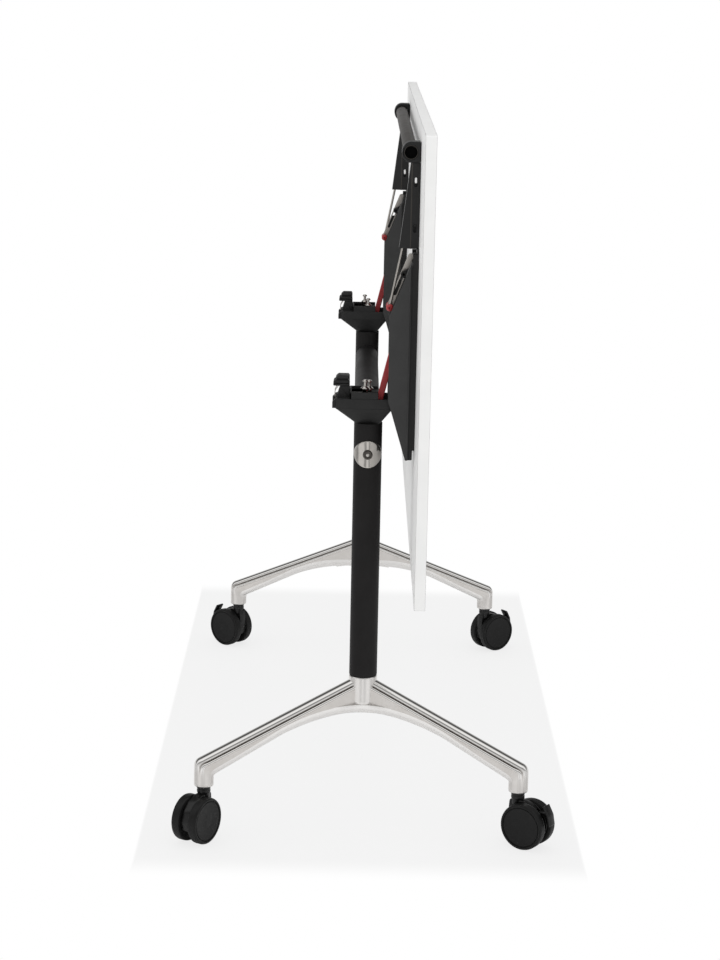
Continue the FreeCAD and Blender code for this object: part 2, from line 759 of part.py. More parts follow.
def head():
    """Funnel on the column: tray and deck, two hinge ears, two lips and a post for the latch keeper."""
    low = rounded_rectangle(-head_half_width, head_half_width, head_front, head_rear, head_corner,
                            rim_z - rim_band)
    corners = [math.degrees(math.atan2(v.Y, v.X)) for v in low.OrderedVertexes]
    turned = [a % 360 for a in corners]
    spans = []
    for start, end in zip(turned, turned[1:] + turned[:1]):
        spans.append((start, end if end > start else end + 360))
    shape = Part.makeLoft([split_circle(column_radius, collar_z, spans), low], True, True)
    band = Part.Face(low).extrude(V(0, 0, rim_band))
    lip_top = rim_z - rim_band + lip_height
    lip = [(head_front + past, rim_z - rim_band), (head_front - lip_length, rim_z - rim_band),
           (head_front - lip_length, lip_top), (head_front, rim_z), (head_front + past, rim_z)]
    half = head_half_width - head_corner
    shape = shape.fuse(band).fuse(plate(lip, -half, -lip_inner)).fuse(plate(lip, lip_inner, half))
    inside = head_half_width - tray_wall
    shape = shape.cut(box(-inside, inside, tray_front, head_rear - tray_wall, tray_z, rim_z + past))
    shape = shape.fuse(head_deck())
    spigot = column_radius - column_wall - seat_gap
    shape = shape.fuse(rod_z(0, 0, spigot, collar_z - spigot_length, collar_z + past))
    shape = shape.cut(rod_z(0, 0, spigot - spigot_wall, collar_z - spigot_length - past, collar_z))
    centre = V(0, hinge_y, hinge_z)
    ear_base = [(head_rear, tray_z), (ear_front, tray_z)]
    for x in (-ear_inner - ear_thickness, ear_inner):
        shape = shape.fuse(hull_ear(centre, hinge_boss_radius, ear_base, x, x + ear_thickness))
    outer = ear_inner + ear_thickness + past
    shape = shape.cut(rod_x(hinge_y, hinge_z, hinge_pin_radius + running_gap, -outer, outer))
    post = [(post_rear, rim_z - past), (post_rear, rim_z + post_height), (post_front, rim_z + post_height),
            (head_front, rim_z), (head_front, rim_z - past)]
    shape = shape.fuse(plate(post, -post_half_width, post_half_width))
    tip = math.hypot(lock_tip_depth - hinge_drop, lock_tip_below)
    sweep = tip + lock_arm_radius + lock_arm_gap
    half = lock_arm_half_width + lock_arm_gap
    return shape.cut(rod_x(hinge_y, hinge_z, sweep, -half, half)).removeSplitter()


def head_deck():
    """Block filling the front of the tray, with a low wall along three sides of its top."""
    wall_z = rim_z + deck_rise
    block = box(-deck_half_width, deck_half_width, post_rear, deck_rear, tray_z - past, wall_z)
    inside = deck_half_width - deck_wall
    return block.cut(box(-inside, inside, post_rear + deck_wall, deck_rear + past, deck_z, wall_z + past))


def latch_keeper():
    """Ridged block on the head's post."""
    low = rim_z + post_height
    shape = box(-keeper_half_width, keeper_half_width, keeper_front, post_rear, low, low + keeper_height)
    pitch = keeper_height / (ridge_count + 1)
    outer = box(-keeper_half_width - past, keeper_half_width + past, keeper_front - past, post_rear + past,
                0, ridge_height)
    core = box(-keeper_half_width + ridge_depth, keeper_half_width - ridge_depth, keeper_front + ridge_depth,
               post_rear - ridge_depth, 0, ridge_height)
    groove = outer.cut(core)
    for i in range(1, ridge_count + 1):
        shape = shape.cut(moved(groove, 0, 0, low + i * pitch - ridge_height / 2))
    return shape


def keeper_strips():
    """Two bright spring strips leaning from the keeper's underside down to the lip."""
    top = (post_front - strip_thickness, rim_z + post_height)
    foot = (head_front - strip_thickness, rim_z)
    outline = [foot, (foot[0] + strip_thickness, foot[1]), (top[0] + strip_thickness, top[1]), top]
    strips = []
    for x in (-strip_spread, strip_spread):
        strips.append(plate(outline, x - strip_width / 2, x + strip_width / 2))
    return strips


def head_screws():
    """Collared studs standing on the deck: foot cone, waist and domed cap."""
    cone_z = deck_z + screw_stand
    waist_z = cone_z + screw_cone_height
    cap_z = waist_z + screw_waist_height
    screws = []
    for x, y in ((screw_spread, screw_row), (-screw_spread, screw_row + screw_stagger)):
        stud = rod_z(x, y, screw_shank_radius, deck_z, cone_z)
        cone = Part.makeCone(screw_base_radius, screw_waist_radius, screw_cone_height, V(x, y, cone_z))
        stud = stud.fuse(cone)
        stud = stud.fuse(rod_z(x, y, screw_waist_radius, waist_z, cap_z))
        cap = rod_z(x, y, screw_cap_radius, cap_z, cap_z + screw_cap_height)
        rim = [e for e in cap.Edges if e.BoundBox.ZMin > cap_z + screw_cap_height - pick]
        stud = stud.fuse(cap.makeFillet(screw_cap_height / 2, rim))
        screws.append(stud.removeSplitter())
    return screws


def caster_hood(brake):
    """Body between the wheels, in the caster's own frame: trail along +X, swivel axis at the origin."""
    shape = rod_y(trail, wheel_radius, hood_radius, -hood_half_width, hood_half_width)
    shape = shape.cut(box(-wheel_radius, trail + wheel_radius, -wheel_radius, wheel_radius, 0, hood_cut))
    neck = box(-sleeve_radius, trail, -hood_half_width, hood_half_width, wheel_radius, sleeve_foot)
    shape = shape.fuse(neck)
    shape = shape.fuse(rod_z(0, 0, sleeve_radius, sleeve_foot, socket_mouth - face_gap))
    reach = hood_half_width + past
    shape = shape.cut(rod_y(trail, wheel_radius, axle_radius + seat_gap, -reach, reach))
    shape = shape.cut(rod_z(0, 0, stem_radius + running_gap, stem_foot - running_gap, socket_mouth + past))
    if brake:
        x = trail + brake_pivot_reach
        z = wheel_radius + brake_pivot_rise
        half = brake_half_width + brake_pocket_gap
        room = brake_boss + brake_pocket_gap
        pocket = box(x - room, x + wheel_radius, -half, half, z - room, z + wheel_radius)
        pocket = pocket.fuse(box(x, x + wheel_radius, -half, half, hood_cut - past, z))
        shape = shape.cut(pocket)
        shape = shape.fuse(brake_ears(x, z, half))
        shape = shape.cut(rod_y(x, z, brake_trunnion + running_gap, -reach, reach))
    return shape.removeSplitter()


def brake_ears(x, z, half):
    """Two round ears that carry the brake pedal's trunnions."""
    ears = rod_y(x, z, brake_boss, -hood_half_width, hood_half_width)
    return ears.cut(rod_y(x, z, brake_boss + past, -half, half))


def caster_brake():
    """Curved pedal behind the hood, turning on two trunnions in the hood's ears."""
    x = trail + brake_pivot_reach
    z = wheel_radius + brake_pivot_rise
    points = [(trail + brake_tip_reach, wheel_radius + brake_tip_rise),
              (trail + brake_knee_reach, wheel_radius + brake_knee_rise),
              (trail + brake_foot_reach, wheel_radius + brake_foot_rise)]
    outer = Part.Arc(*[V(px, 0, pz) for px, pz in points]).toShape()
    inner = Part.Arc(*[V(px - brake_wall, 0, pz - brake_wall / 2) for px, pz in points]).toShape()
    ends = [(outer.Vertexes[i].Point, inner.Vertexes[i].Point) for i in (0, 1)]
    wire = Part.Wire(Part.sortEdges([outer, Part.LineSegment(*ends[1]).toShape(), inner,
                                     Part.LineSegment(*ends[0]).toShape()])[0])
    pedal = Part.Face(wire).extrude(V(0, 2 * brake_tab_half_width, 0))
    pedal.translate(V(0, -brake_tab_half_width, 0))
    boss = rod_y(x, z, brake_boss, -brake_half_width, brake_half_width)
    web = box(x, points[1][0] - brake_wall / 2, -brake_half_width, brake_half_width,
              z - brake_wall / 2, z + brake_boss)
    trunnion = rod_y(x, z, brake_trunnion, -hood_half_width, hood_half_width)
    return pedal.fuse(boss).fuse(web).fuse(trunnion).removeSplitter()


def caster_wheels():
    """Two dished wheels, one each side of the hood, with blind bores for the axle."""
    inner = hood_half_width + hood_side_gap
    face = inner + wheel_width
    wheel = rod_y(trail, wheel_radius, wheel_radius, inner, face)
    rims = [e for e in wheel.Edges if e.BoundBox.XLength > 2 * wheel_radius - past
            and e.BoundBox.YLength < pick]
    wheel = wheel.makeFillet(wheel_rim_fillet, rims)
    wheel = wheel.cut(rod_y(trail, wheel_radius, wheel_dish_radius, face - wheel_dish_depth, face + past))
    floor = face - wheel_dish_depth - axle_end_gap
    wheel = wheel.cut(rod_y(trail, wheel_radius, axle_radius + running_gap, inner - past, floor))
    return [wheel, wheel.mirror(V(0, 0, 0), V(0, 1, 0))]


def caster_axle():
    half = hood_half_width + hood_side_gap + wheel_width - wheel_dish_depth - axle_end_gap - axle_float
    return rod_y(trail, wheel_radius, axle_radius, -half, half)


def caster_stem():
    return rod_z(0, 0, stem_radius, stem_foot, socket_mouth + stem_insert)


def placed_caster(shape, caster):
    copy = shape.copy()
    copy.rotate(V(0, 0, 0), V(0, 0, 1), caster["heading"])
    copy.translate(V(caster["side"] * socket_x, caster["across"] * socket_half_span, 0))
    return copy


def build_casters():
    stems = []
    for name, caster in casters.items():
        save("caster_hood_" + name, placed_caster(caster_hood(caster["brake"]), caster))
        save("caster_wheels_" + name, *[placed_caster(wheel, caster) for wheel in caster_wheels()])
        save("caster_axle_" + name, placed_caster(caster_axle(), caster))
        stems.append(placed_caster(caster_stem(), caster))
        if caster["brake"]:
            save("caster_brake_" + name, placed_caster(caster_brake(), caster))
    save("caster_stems", *stems)


tabletop()
wood_screws()
save_pair("hinge_bracket", hinge_bracket())
save_pair("hinge_pin", hinge_pin())
save_pair("wing_cover", wing_cover())
save_pair("lock_arm", lock_arm())
save_pair("slotted_link", slotted_link())
save_both("link_guide_pins", [link_guide_pin()])
save_pair("latch_knob", latch_knob())
save_pair("release_rod", release_rod())
save_pair("release_lever", release_lever())
save_pair("lever_guide", lever_guide())
save_pair("handle_block", handle_block())
save("handle_tube", handle_tube())
save_both("handle_plugs", [handle_plug()])
save_both("rod_pins", [rod_cross_pin()])
save_pair("column", column())
save_pair("base", base())
save_both("base_bolts", [base_bolt()])
save_pair("head", head())
save_pair("latch_keeper", latch_keeper())
for side, turn in (("right", False), ("left", True)):
    strips = [moved(strip, leg_x) for strip in keeper_strips()]
    save("keeper_strips_" + side, *[mirrored(strip) if turn else strip for strip in strips])
save_both("head_screws", head_screws())
save("crossbar", crossbar())
save_pair("saddle_disc", saddle_disc())
save_both("crossbar_bolts", [crossbar_bolt()])
build_casters()
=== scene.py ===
"""Looks of the folding desk: pieces worked out as surfaces, finishes, light and camera.

Sizes are written in millimetres and turned to metres when a mesh is made.  A leg's pieces are worked out
about its column, x = 0 on the column's axis and +x outwards, and set in place by a named place:
  UNDER  y from the top's underside, z from the hinge's axis (pieces that swing with the top)
  RIM    z from the rim of the leg's head
  FLOOR  z from the floor
"""
import json
import math
import bmesh
import bpy
import numpy as np
from mathutils import Matrix, Vector
from mathutils.geometry import tessellate_polygon


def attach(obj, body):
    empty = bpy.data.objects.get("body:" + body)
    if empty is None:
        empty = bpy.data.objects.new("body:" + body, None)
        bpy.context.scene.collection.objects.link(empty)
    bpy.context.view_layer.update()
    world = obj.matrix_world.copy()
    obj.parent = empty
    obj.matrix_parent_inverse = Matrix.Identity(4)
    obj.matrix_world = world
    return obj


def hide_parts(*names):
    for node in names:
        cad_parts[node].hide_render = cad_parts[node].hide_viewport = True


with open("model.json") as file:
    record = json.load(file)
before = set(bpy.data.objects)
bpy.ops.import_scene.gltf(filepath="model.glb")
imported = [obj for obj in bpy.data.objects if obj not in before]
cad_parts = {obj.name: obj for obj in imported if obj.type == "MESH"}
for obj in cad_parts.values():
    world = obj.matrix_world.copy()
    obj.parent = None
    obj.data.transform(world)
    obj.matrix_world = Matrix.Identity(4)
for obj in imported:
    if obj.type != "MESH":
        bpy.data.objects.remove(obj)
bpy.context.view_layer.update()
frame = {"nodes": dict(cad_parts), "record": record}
scene = bpy.context.scene
scene.view_settings.view_transform = "Standard"

MM = 0.001
TAU = 2 * math.pi
X, Y, Z = np.eye(3)
join = np.concatenate
# Planes that an outline is drawn in: its two axes, then the axis of the slab's thickness
YZ, XZ, XY = (1, 2, 0), (0, 2, 1), (0, 1, 2)


def limits(name):
    """Lowest and highest corner of a node of the frame, in millimetres."""
    node = frame["nodes"][name]
    corners = np.array([node.matrix_world @ Vector(corner) for corner in node.bound_box]) / MM
    return corners.min(0), corners.max(0)


# Places and driving sizes, read from the frame

column_low, column_high = limits("column_right")
pin_low, pin_high = limits("hinge_pin_right")
bar_low, bar_high = limits("crossbar")
grip_low, grip_high = limits("handle_tube")
LEG_X = (column_low + column_high)[0] / 2
COLUMN_R = (column_high - column_low)[0] / 2
COLUMN_FOOT, COLLAR = column_low[2], column_high[2]
HINGE = (pin_low + pin_high)[1:] / 2
UNDERSIDE = limits("tabletop")[0][1]
BAR_Z, BAR_R = (bar_low + bar_high)[2] / 2, (bar_high - bar_low)[2] / 2
MOUTH = limits("base_right")[0][2]
WHEEL_R = limits("caster_wheels_right_front")[1][2] / 2
GRIP = (grip_low + grip_high)[1:] / 2 - (UNDERSIDE, HINGE[1])
GRIP_END, GRIP_R = grip_high[0], (grip_high - grip_low)[2] / 2
FUNNEL = 40.0
UNDER = (LEG_X, UNDERSIDE, HINGE[1])
RIM = (LEG_X, 0.0, COLLAR + FUNNEL)
FLOOR = (LEG_X, 0.0, 0.0)
HINGE_UNDER = (HINGE[0] - UNDERSIDE, 0.0)
HINGE_RIM = (HINGE[0], HINGE[1] - RIM[2])


# Finishes

def linear(code):
    """sRGB hex colour as linear red, green, blue and alpha."""
    parts = [int(code[i:i + 2], 16) / 255 for i in (1, 3, 5)]
    return tuple(c / 12.92 if c <= 0.04045 else ((c + 0.055) / 1.055) ** 2.4 for c in parts) + (1.0,)


def feed(tree, node, **inputs):
    """Sets a node's inputs; one that is given a socket, or a node for its first output, is linked.

    An input is named by its label with _ for a space, or by i and its number.
    """
    for key, value in inputs.items():
        socket = node.inputs[int(key[1:]) if key[1:].isdigit() else key.replace("_", " ")]
        if isinstance(value, bpy.types.Node):
            value = value.outputs[0]
        if isinstance(value, bpy.types.NodeSocket):
            tree.links.new(value, socket)
        else:
            socket.default_value = value


def add(tree, kind, settings=None, **inputs):
    """One shader node with its settings and its inputs."""
    node = tree.nodes.new("ShaderNode" + kind)
    for key, value in (settings or {}).items():
        setattr(node, key, value)
    feed(tree, node, **inputs)
    return node


def ramp(tree, place, stops):
    """Colour ramp read at a place from 0 to 1; a stop is a place and a hex code or a grey level."""
    node = add(tree, "ValToRGB", Fac=place)
    marks = node.color_ramp.elements
    while len(marks) < len(stops):
        marks.new(1.0)
    for mark, (at, colour) in zip(marks, stops):
        mark.position = at
        mark.color = linear(colour) if isinstance(colour, str) else (colour, colour, colour, 1.0)
    return node


def shader(name, **inputs):
    """A new material, its tree, its principled shader and the object coordinates."""
    material = bpy.data.materials.new(name)
    material.use_nodes = True
    tree = material.node_tree
    tree.nodes.clear()
    place = add(tree, "TexCoord").outputs["Object"]
    skin = add(tree, "BsdfPrincipled", **inputs)
    add(tree, "OutputMaterial", Surface=skin)
    return material, tree, skin, place


def drift(tree, place, size_mm, low, high):
    """Noise in patches of the given size, and its middle range stretched from low to high."""
    patches = add(tree, "TexNoise", Vector=place, Scale=1 / (size_mm * MM), Detail=3.0)
    return patches, add(tree, "MapRange", Value=patches, From_Min=0.3, From_Max=0.7, To_Min=low, To_Max=high)


def patchy(tree, skin, place, size_mm, low, high, dull_low, dull_high):
    """Colour and roughness that drift between two values over patches of the given size."""
    patches, dull = drift(tree, place, size_mm, dull_low, dull_high)
    feed(tree, skin, Base_Color=ramp(tree, patches, [(0.3, low), (0.7, high)]), Roughness=dull)


def grained(tree, skin, place, size_mm, depth_mm, along=(1.0, 1.0, 1.0)):
    """Fine relief of lumps of the given size; the pattern is drawn out on an axis where along is small."""
    spot = add(tree, "Mapping", Vector=place, Scale=along)
    lumps = add(tree, "TexNoise", Vector=spot, Scale=1 / (size_mm * MM), Detail=2.0)
    feed(tree, skin, Normal=add(tree, "Bump", Height=lumps, Distance=depth_mm * MM, Strength=0.5))


def coated(name, low, high, dull_low, dull_high, patch_mm, grain_mm, depth_mm, sheen=0.3):
    """Paint, powder coat or plastic: an even colour with slight drift, a soft sheen and a fine grain."""
    material, tree, skin, place = shader(name, IOR=1.5, Specular_IOR_Level=sheen)
    patchy(tree, skin, place, patch_mm, low, high, dull_low, dull_high)
    grained(tree, skin, place, grain_mm, depth_mm)
    return material


def plated(name, low, high, dull_low, dull_high):
    """Plated steel: metal clouded a little by the bath, with fine lines from drawing."""
    material, tree, skin, place = shader(name, Metallic=1.0)
    patchy(tree, skin, place, 6.0, low, high, dull_low, dull_high)
    grained(tree, skin, place, size_mm=0.8, depth_mm=0.004, along=(1.0, 1.0, 0.15))
    return material


def cast_aluminium(name):
    """Cast aluminium: beads buffed bright, sides satin with a faint blasted grain, grooves coloured dark as
    painted shade.

    The piece's own value at each point says how far: 0 in a groove, whose dark colour is painted shade,
    0.3 on a side, 0.6 on a band, 1 on a bead.
    """
    material, tree, skin, place = shader(name, Metallic=1.0)
    bright = add(tree, "Attribute", {"attribute_name": "buffed"}).outputs["Fac"]
    worn = drift(tree, place, 18, -0.03, 0.03)[1]
    share = add(tree, "Math", {"operation": "ADD", "use_clamp": True}, i0=bright, i1=worn)
    # the dark first stop colours the grooves as painted shade; the other stops are the metal's own polish
    tint = ramp(tree, share, [(0.0, "#7c7773"), (0.28, "#d8d4d0"), (0.6, "#f0eeec"), (1.0, "#e9e7e4")])
    dull = add(tree, "MapRange", Value=share, From_Min=0.3, To_Min=0.42, To_Max=0.1)
    feed(tree, skin, Base_Color=tint, Roughness=dull)
    grained(tree, skin, place, size_mm=0.7, depth_mm=0.004)
    return material


# Each finish, with what it gives the eye.  A coat's numbers are its roughness from and to, the size of its
# patches, the size and depth of its grain in millimetres, and its sheen.
finishes = {
    # board faced with melamine: nearly white, a broad soft sheen
    "white_melamine": coated("white_melamine", "#f1f1f0", "#f3f3f2", 0.42, 0.45, 60, 0.9, 0.01),
    # extruded edging: the board's white, a little glossier
    "white_edging": coated("white_abs_edging", "#efefee", "#f3f3f2", 0.3, 0.38, 40, 2.0, 0.01, 0.45),
    # powder coat on the tubes: deep even black with a dull sheen
    "black_powder_coat": coated("black_powder_coat", "#1d1c1c", "#222121", 0.5, 0.58, 30, 0.7, 0.03, 0.12),
    # painted die casting: flatter and slightly lighter than the tubes
    "black_casting": coated("matt_black_casting", "#1e1e1e", "#242424", 0.55, 0.64, 22, 0.9, 0.04),
    # cast feet: bright beads, grooves coloured dark as painted shade, and satin sides
    "polished_aluminium": cast_aluminium("polished_cast_aluminium"),
    # moulded covers: charcoal, with a fine eroded texture
    "wing_plastic": coated("charcoal_textured_plastic", "#333333", "#393939", 0.5, 0.6, 25, 0.8, 0.03),
    # painted sheet steel under the covers: black and matt
    "bracket_steel": coated("black_painted_steel", "#1b1b1b", "#202020", 0.5, 0.58, 20, 0.7, 0.03),
    # folded levers: black with a thin edge of light on each fold
    "lever_steel": coated("black_lever_paint", "#181818", "#1e1e1e", 0.42, 0.5, 20, 0.7, 0.03),
    # handle tube: warm dark grey, satin; on each lever's fold it is a painted highlight
    "handle_paint": coated("warm_grey_tube_paint", "#383532", "#403d3a", 0.46, 0.54, 30, 0.6, 0.03, 0.2),
    # plugs: the deepest black
    "plug_plastic": coated("black_plug_plastic", "#020202", "#040404", 0.7, 0.8, 12, 0.6, 0.02, 0.05),
    # red latch parts: brick red, half gloss
    "red_plastic": coated("red_moulded_plastic", "#a3383a", "#b04143", 0.4, 0.5, 15, 0.7, 0.03),
    # zinc plate: pale warm grey metal, half bright
    "zinc_steel": plated("bright_zinc_plate", "#b3aea8", "#bfbab4", 0.28, 0.38),
    # chrome: sharp dark and light stripes
    "chrome": plated("polished_chrome", "#b9b5b0", "#c2beb9", 0.08, 0.14),
    # oiled steel: dark grey metal
    "dark_bolt": plated("dark_oiled_steel", "#55514e", "#625e5a", 0.28, 0.4),
    # caster hoods and pedals: black nylon with a clear gloss
    "caster_hood_plastic": coated("black_nylon_hood", "#0b0b0b", "#0f0f0f", 0.26, 0.34, 15, 0.6, 0.01, 0.4),
    # wheels: black nylon, scuffed duller
    "caster_wheel_plastic": coated("black_nylon_wheel", "#121212", "#161616", 0.38, 0.46, 15, 0.6, 0.015,
                                   0.22),
}
SLOT_OF = {entry["node"]: entry["material_slot"] for entry in frame["record"]["subparts"]}
BODY_OF = {node: body for body, nodes in frame["record"]["behaviour"]["bodies"].items() for node in nodes}
for node, slot in SLOT_OF.items():
    mesh = frame["nodes"][node].data
    mesh.materials.clear()
    mesh.materials.append(finishes[slot])


# Lines and outlines

def unit(vectors):
    """Vectors scaled to a length of 1."""
    return vectors / np.linalg.norm(vectors, axis=-1, keepdims=True)


def rounded(corners, radius, steps=5):
    """Closed outline: each corner of a polygon becomes an arc tangent to its two sides."""
    p = np.asarray(corners, float)
    r = np.broadcast_to(radius, len(p))[:, None]
    back, on = unit(np.roll(p, 1, 0) - p), unit(np.roll(p, -1, 0) - p)
    half = np.arccos(np.clip((back * on).sum(1), -1, 1))[:, None] / 2
    centre = p + unit(back + on) * r / np.sin(half)
    start = p + back * r / np.tan(half) - centre
    end = p + on * r / np.tan(half) - centre
    turn = np.pi - 2 * half
    k = np.linspace(0, 1, steps + 1)[None, :]
    a = (np.sin((1 - k) * turn) / np.sin(turn))[..., None]
    b = (np.sin(k * turn) / np.sin(turn))[..., None]
    return (centre[:, None] + a * start[:, None] + b * end[:, None]).reshape(-1, 2)


def eased(corners, radius, steps=4):
    """Open line: its inner corners become arcs and its two ends stay.

    A spare corner off the line closes it to a ring for the rounding and is dropped again.
    """
    aside, tight = (7.0, 3.0), 0.01
    line = np.asarray(corners, float)
    ring = join([line, [line[-1] + line[0] - line[1] + aside]])
    radii = np.append(np.broadcast_to(radius, len(line)), tight)
    arcs = rounded(ring, radii, steps).reshape(len(ring), -1, 2)
    return join([line[:1], arcs[1:-2].reshape(-1, 2), line[-1:]])


def full_turn(count):
    """Angles spaced evenly round a circle."""
    return np.arange(count) / count * TAU


def quarter_turn(count):
    """Angles spaced evenly from 0 to a right angle."""
    return np.linspace(0, math.pi / 2, count)


def arc(centre, radius, angles):
    """Points on a circle at the given angles."""
    return radius * np.stack([np.cos(angles), np.sin(angles)], 1) + centre


def circle(centre, radius, count=32):
    """Closed round outline."""
    return arc(centre, radius, full_turn(count))


def capsule(start, end, radius, count=12):
    """Closed outline of two half circles joined by straight sides."""
    along = np.subtract(end, start)
    a = math.atan2(along[1], along[0]) - math.pi / 2 + np.linspace(0, math.pi, count)
    return join([arc(end, radius, a), arc(start, -radius, a)])


def ear(centre, radius, base, count=14):
    """Closed outline of a round boss with tangent sides down to two base points, given anticlockwise."""
    base = np.asarray(base, float)
    offset = base - centre
    lean = np.arctan2(offset[:, 1], offset[:, 0])
    open_angle = np.arccos(radius / np.linalg.norm(offset, axis=1))
    first, last = lean[0] + open_angle[0], lean[1] - open_angle[1]
    a = np.linspace(first, last + TAU * (last < first), count)
    return join([base[:1], arc(centre, radius, a), base[1:]])


def oblong(a, b):
    """Corners of a rectangle, anticlockwise, from its pairs of limits on two axes."""
    return np.array([(a[0], b[0]), (a[1], b[0]), (a[1], b[1]), (a[0], b[1])], float)


def pin_line(start, end, radius, core=0.3):
    """Profile of a round pin between two places on its axis, each end face drawn in to a small core."""
    return [(start, core), (start, radius), (end, radius), (end, core)]


def both_ways(line):
    """A line, then its mirror image across the first axis's zero, walked back."""
    return join([line, np.asarray(line, float)[::-1] * (-1, 1)])


def anticlockwise(outline):
    """The outline in anticlockwise order, by the sign of its area."""
    x, y = outline.T
    area = np.dot(x, np.roll(y, -1)) - np.dot(y, np.roll(x, -1))
    return np.stack([x, y], 1)[::1 if area > 0 else -1]


def inset(outline, by):
    """Outline moved to its left by a distance, along the mitre of its two sides at each point."""
    side = np.roll(outline, -1, 0) - outline
    normal = unit(np.stack([-side[:, 1], side[:, 0]], 1))
    before = np.roll(normal, 1, 0)
    return outline + by * (normal + before) / (1 + (normal * before).sum(1))[:, None]


def smooth(x, low, high):
    """Smooth step from 0 at low to 1 at high."""
    t = np.clip((x - low) / (high - low), 0, 1)
    return t * t * (3 - 2 * t)


def evenly(line, count):
    """Points spaced evenly along a line of points."""
    run = join([[0], np.cumsum(np.linalg.norm(np.diff(line, axis=0), axis=1))])
    at = np.linspace(0, run[-1], count)
    return np.stack([np.interp(at, run, line[:, 0]), np.interp(at, run, line[:, 1])], 1)


# Surfaces

SHARP = 33.0


def strip(index, wrap=True):
    """Quads between neighbours of an index grid; the second direction may wrap round."""
    across = np.roll(index, -1, 1) if wrap else index[:, 1:]
    here = index if wrap else index[:, :-1]
    return np.stack([here[:-1], across[:-1], across[1:], here[1:]], -1).reshape(-1, 4)


def numbered(rings):
    """Numbers of the points of an array (ring, point), in its own shape."""
    return np.arange(rings.shape[0] * rings.shape[1]).reshape(rings.shape[:2])


def stacked(outlines, levels):
    """Rings of points: each outline of an array (ring, point, 2) with a level as its third coordinate."""
    third = np.broadcast_to(levels[:, None, None], outlines.shape[:2] + (1,))
    return join([outlines, third], -1)


def lofted(rings):
    """Closed shell over rings of points, an array (ring, point, 3), with a flat face on each end ring."""
    index = numbered(rings)
    return rings.reshape(-1, 3), [strip(index), index[:1, ::-1], index[-1:]]


def turned(profile, centre, axis, sides=56):
    """Surface of revolution: each (distance along the axis, radius) becomes a ring about the axis."""
    askew = (0.31, 0.52, 0.8)
    along, radius = np.asarray(profile, float).T
    axis = unit(axis)
    first = unit(np.cross(axis, askew))
    a = full_turn(sides)
    ring = np.cos(a)[:, None] * first + np.sin(a)[:, None] * np.cross(axis, first)
    return lofted(along[:, None, None] * axis + radius[:, None, None] * ring + centre)


def plate(outline, low, high, edge=0.6, holes=(), axes=YZ, steps=3):
    """Slab between two levels, its rims rounded: rings of each outline, drawn in by edge * (1 - sin a)
    at a height of edge * (1 - cos a), and two flat faces cut by the holes.

    One more ring, further in on each flat face, keeps the face's shading even.
    """
    flat_from = edge * 1.4
    a = quarter_turn(steps + 1)
    drawn = join([[flat_from], edge * (1 - np.sin(a))])
    rise = join([[0], edge * (1 - np.cos(a))])
    drawn = join([drawn, drawn[::-1]])
    level = join([low + rise, (high - rise)[::-1]])
    loops = [anticlockwise(outline)] + [anticlockwise(hole)[::-1] for hole in holes]
    points, faces, ends, start = [], [], ([], []), 0
    for loop in loops:
        rings = stacked(np.stack([inset(loop, by) for by in drawn]), level)
        index = start + numbered(rings)
        faces.append(strip(index))
        points.append(rings.reshape(-1, 3))
        for end, ring in zip(ends, (0, -1)):
            end.append((index[ring], rings[ring]))
        start += index.size
    for end in ends:
        corners = join([part[0] for part in end])
        if len(end) == 1:
            faces.append(corners[None])
        else:
            fan = tessellate_polygon([[Vector((x, y, 0)) for x, y, z in part[1]] for part in end])
            faces.append(corners[np.array(fan)])
    local = join(points)
    placed = np.empty_like(local)
    placed[:, axes] = local
    return placed, faces


def bar(x, y, z, edge=0.6, corner=1.0, axes=YZ):
    """Block between pairs of limits on X, Y and Z, with rounded rims and corners."""
    first, second, through = ((x, y, z)[i] for i in axes)
    return plate(rounded(oblong(first, second), corner, 4), *through, edge, axes=axes)


def flipped(shells, axis=0):
    """Mirror images of shells in the plane through the origin across an axis."""
    sign = np.where(np.arange(3) == axis, -1.0, 1.0)
    return [(points * sign, faces) for points, faces in shells]


def both(shells):
    """Shells and their mirror images across the leg's middle plane."""
    return list(shells) + flipped(shells)


def moved(shells, by):
    """Shells shifted by a distance on each axis."""
    return [(points + by, faces) for points, faces in shells]


def piece(name, shells, nodes, slot=None, body=None, buffed=None):
    """One object from closed shells in millimetres: it rides on a body and stands for the named nodes.

    Where they are not given, its slot and body are those of its first node.
    """
    slot, body = slot or SLOT_OF[nodes[0]], body or BODY_OF[nodes[0]]
    start = np.cumsum([0] + [len(points) for points, faces in shells])
    lists = [(block + at).tolist() for at, (points, faces) in zip(start, shells) for block in faces]
    mesh = bpy.data.meshes.new(name)
    mesh.from_pydata((join([points for points, faces in shells]) * MM).tolist(), [], sum(lists, []))
    work = bmesh.new()
    work.from_mesh(mesh)
    bmesh.ops.recalc_face_normals(work, faces=work.faces)
    work.to_mesh(mesh)
    work.free()
    # per-point polish of the cast metal, with painted shade in its grooves
    if buffed is not None:
        mesh.attributes.new("buffed", "FLOAT", "POINT").data.foreach_set("value", buffed)
    mesh.shade_smooth()
    mesh.set_sharp_from_angle(angle=math.radians(SHARP))
    mesh.materials.append(finishes[slot])
    made = bpy.data.objects.new(name, mesh)
    scene.collection.objects.link(made)
    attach(made, body)
    if nodes:
        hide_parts(*nodes)


def pair(name, shells, place, node=None, **more):
    """The same shells on the right leg and, mirrored, on the left leg."""
    right = moved(shells, place)
    for tag, placed in (("_right", right), ("_left", flipped(right))):
        piece(name + tag, placed, [node + tag] if node else [], **more)


def once(name, shells, place, node):
    """The shells of both legs as one object, standing for one node."""
    right = moved(shells, place)
    piece(name, right + flipped(right), [node])


# Top: outlines in Y and Z, where y is negative below the underside

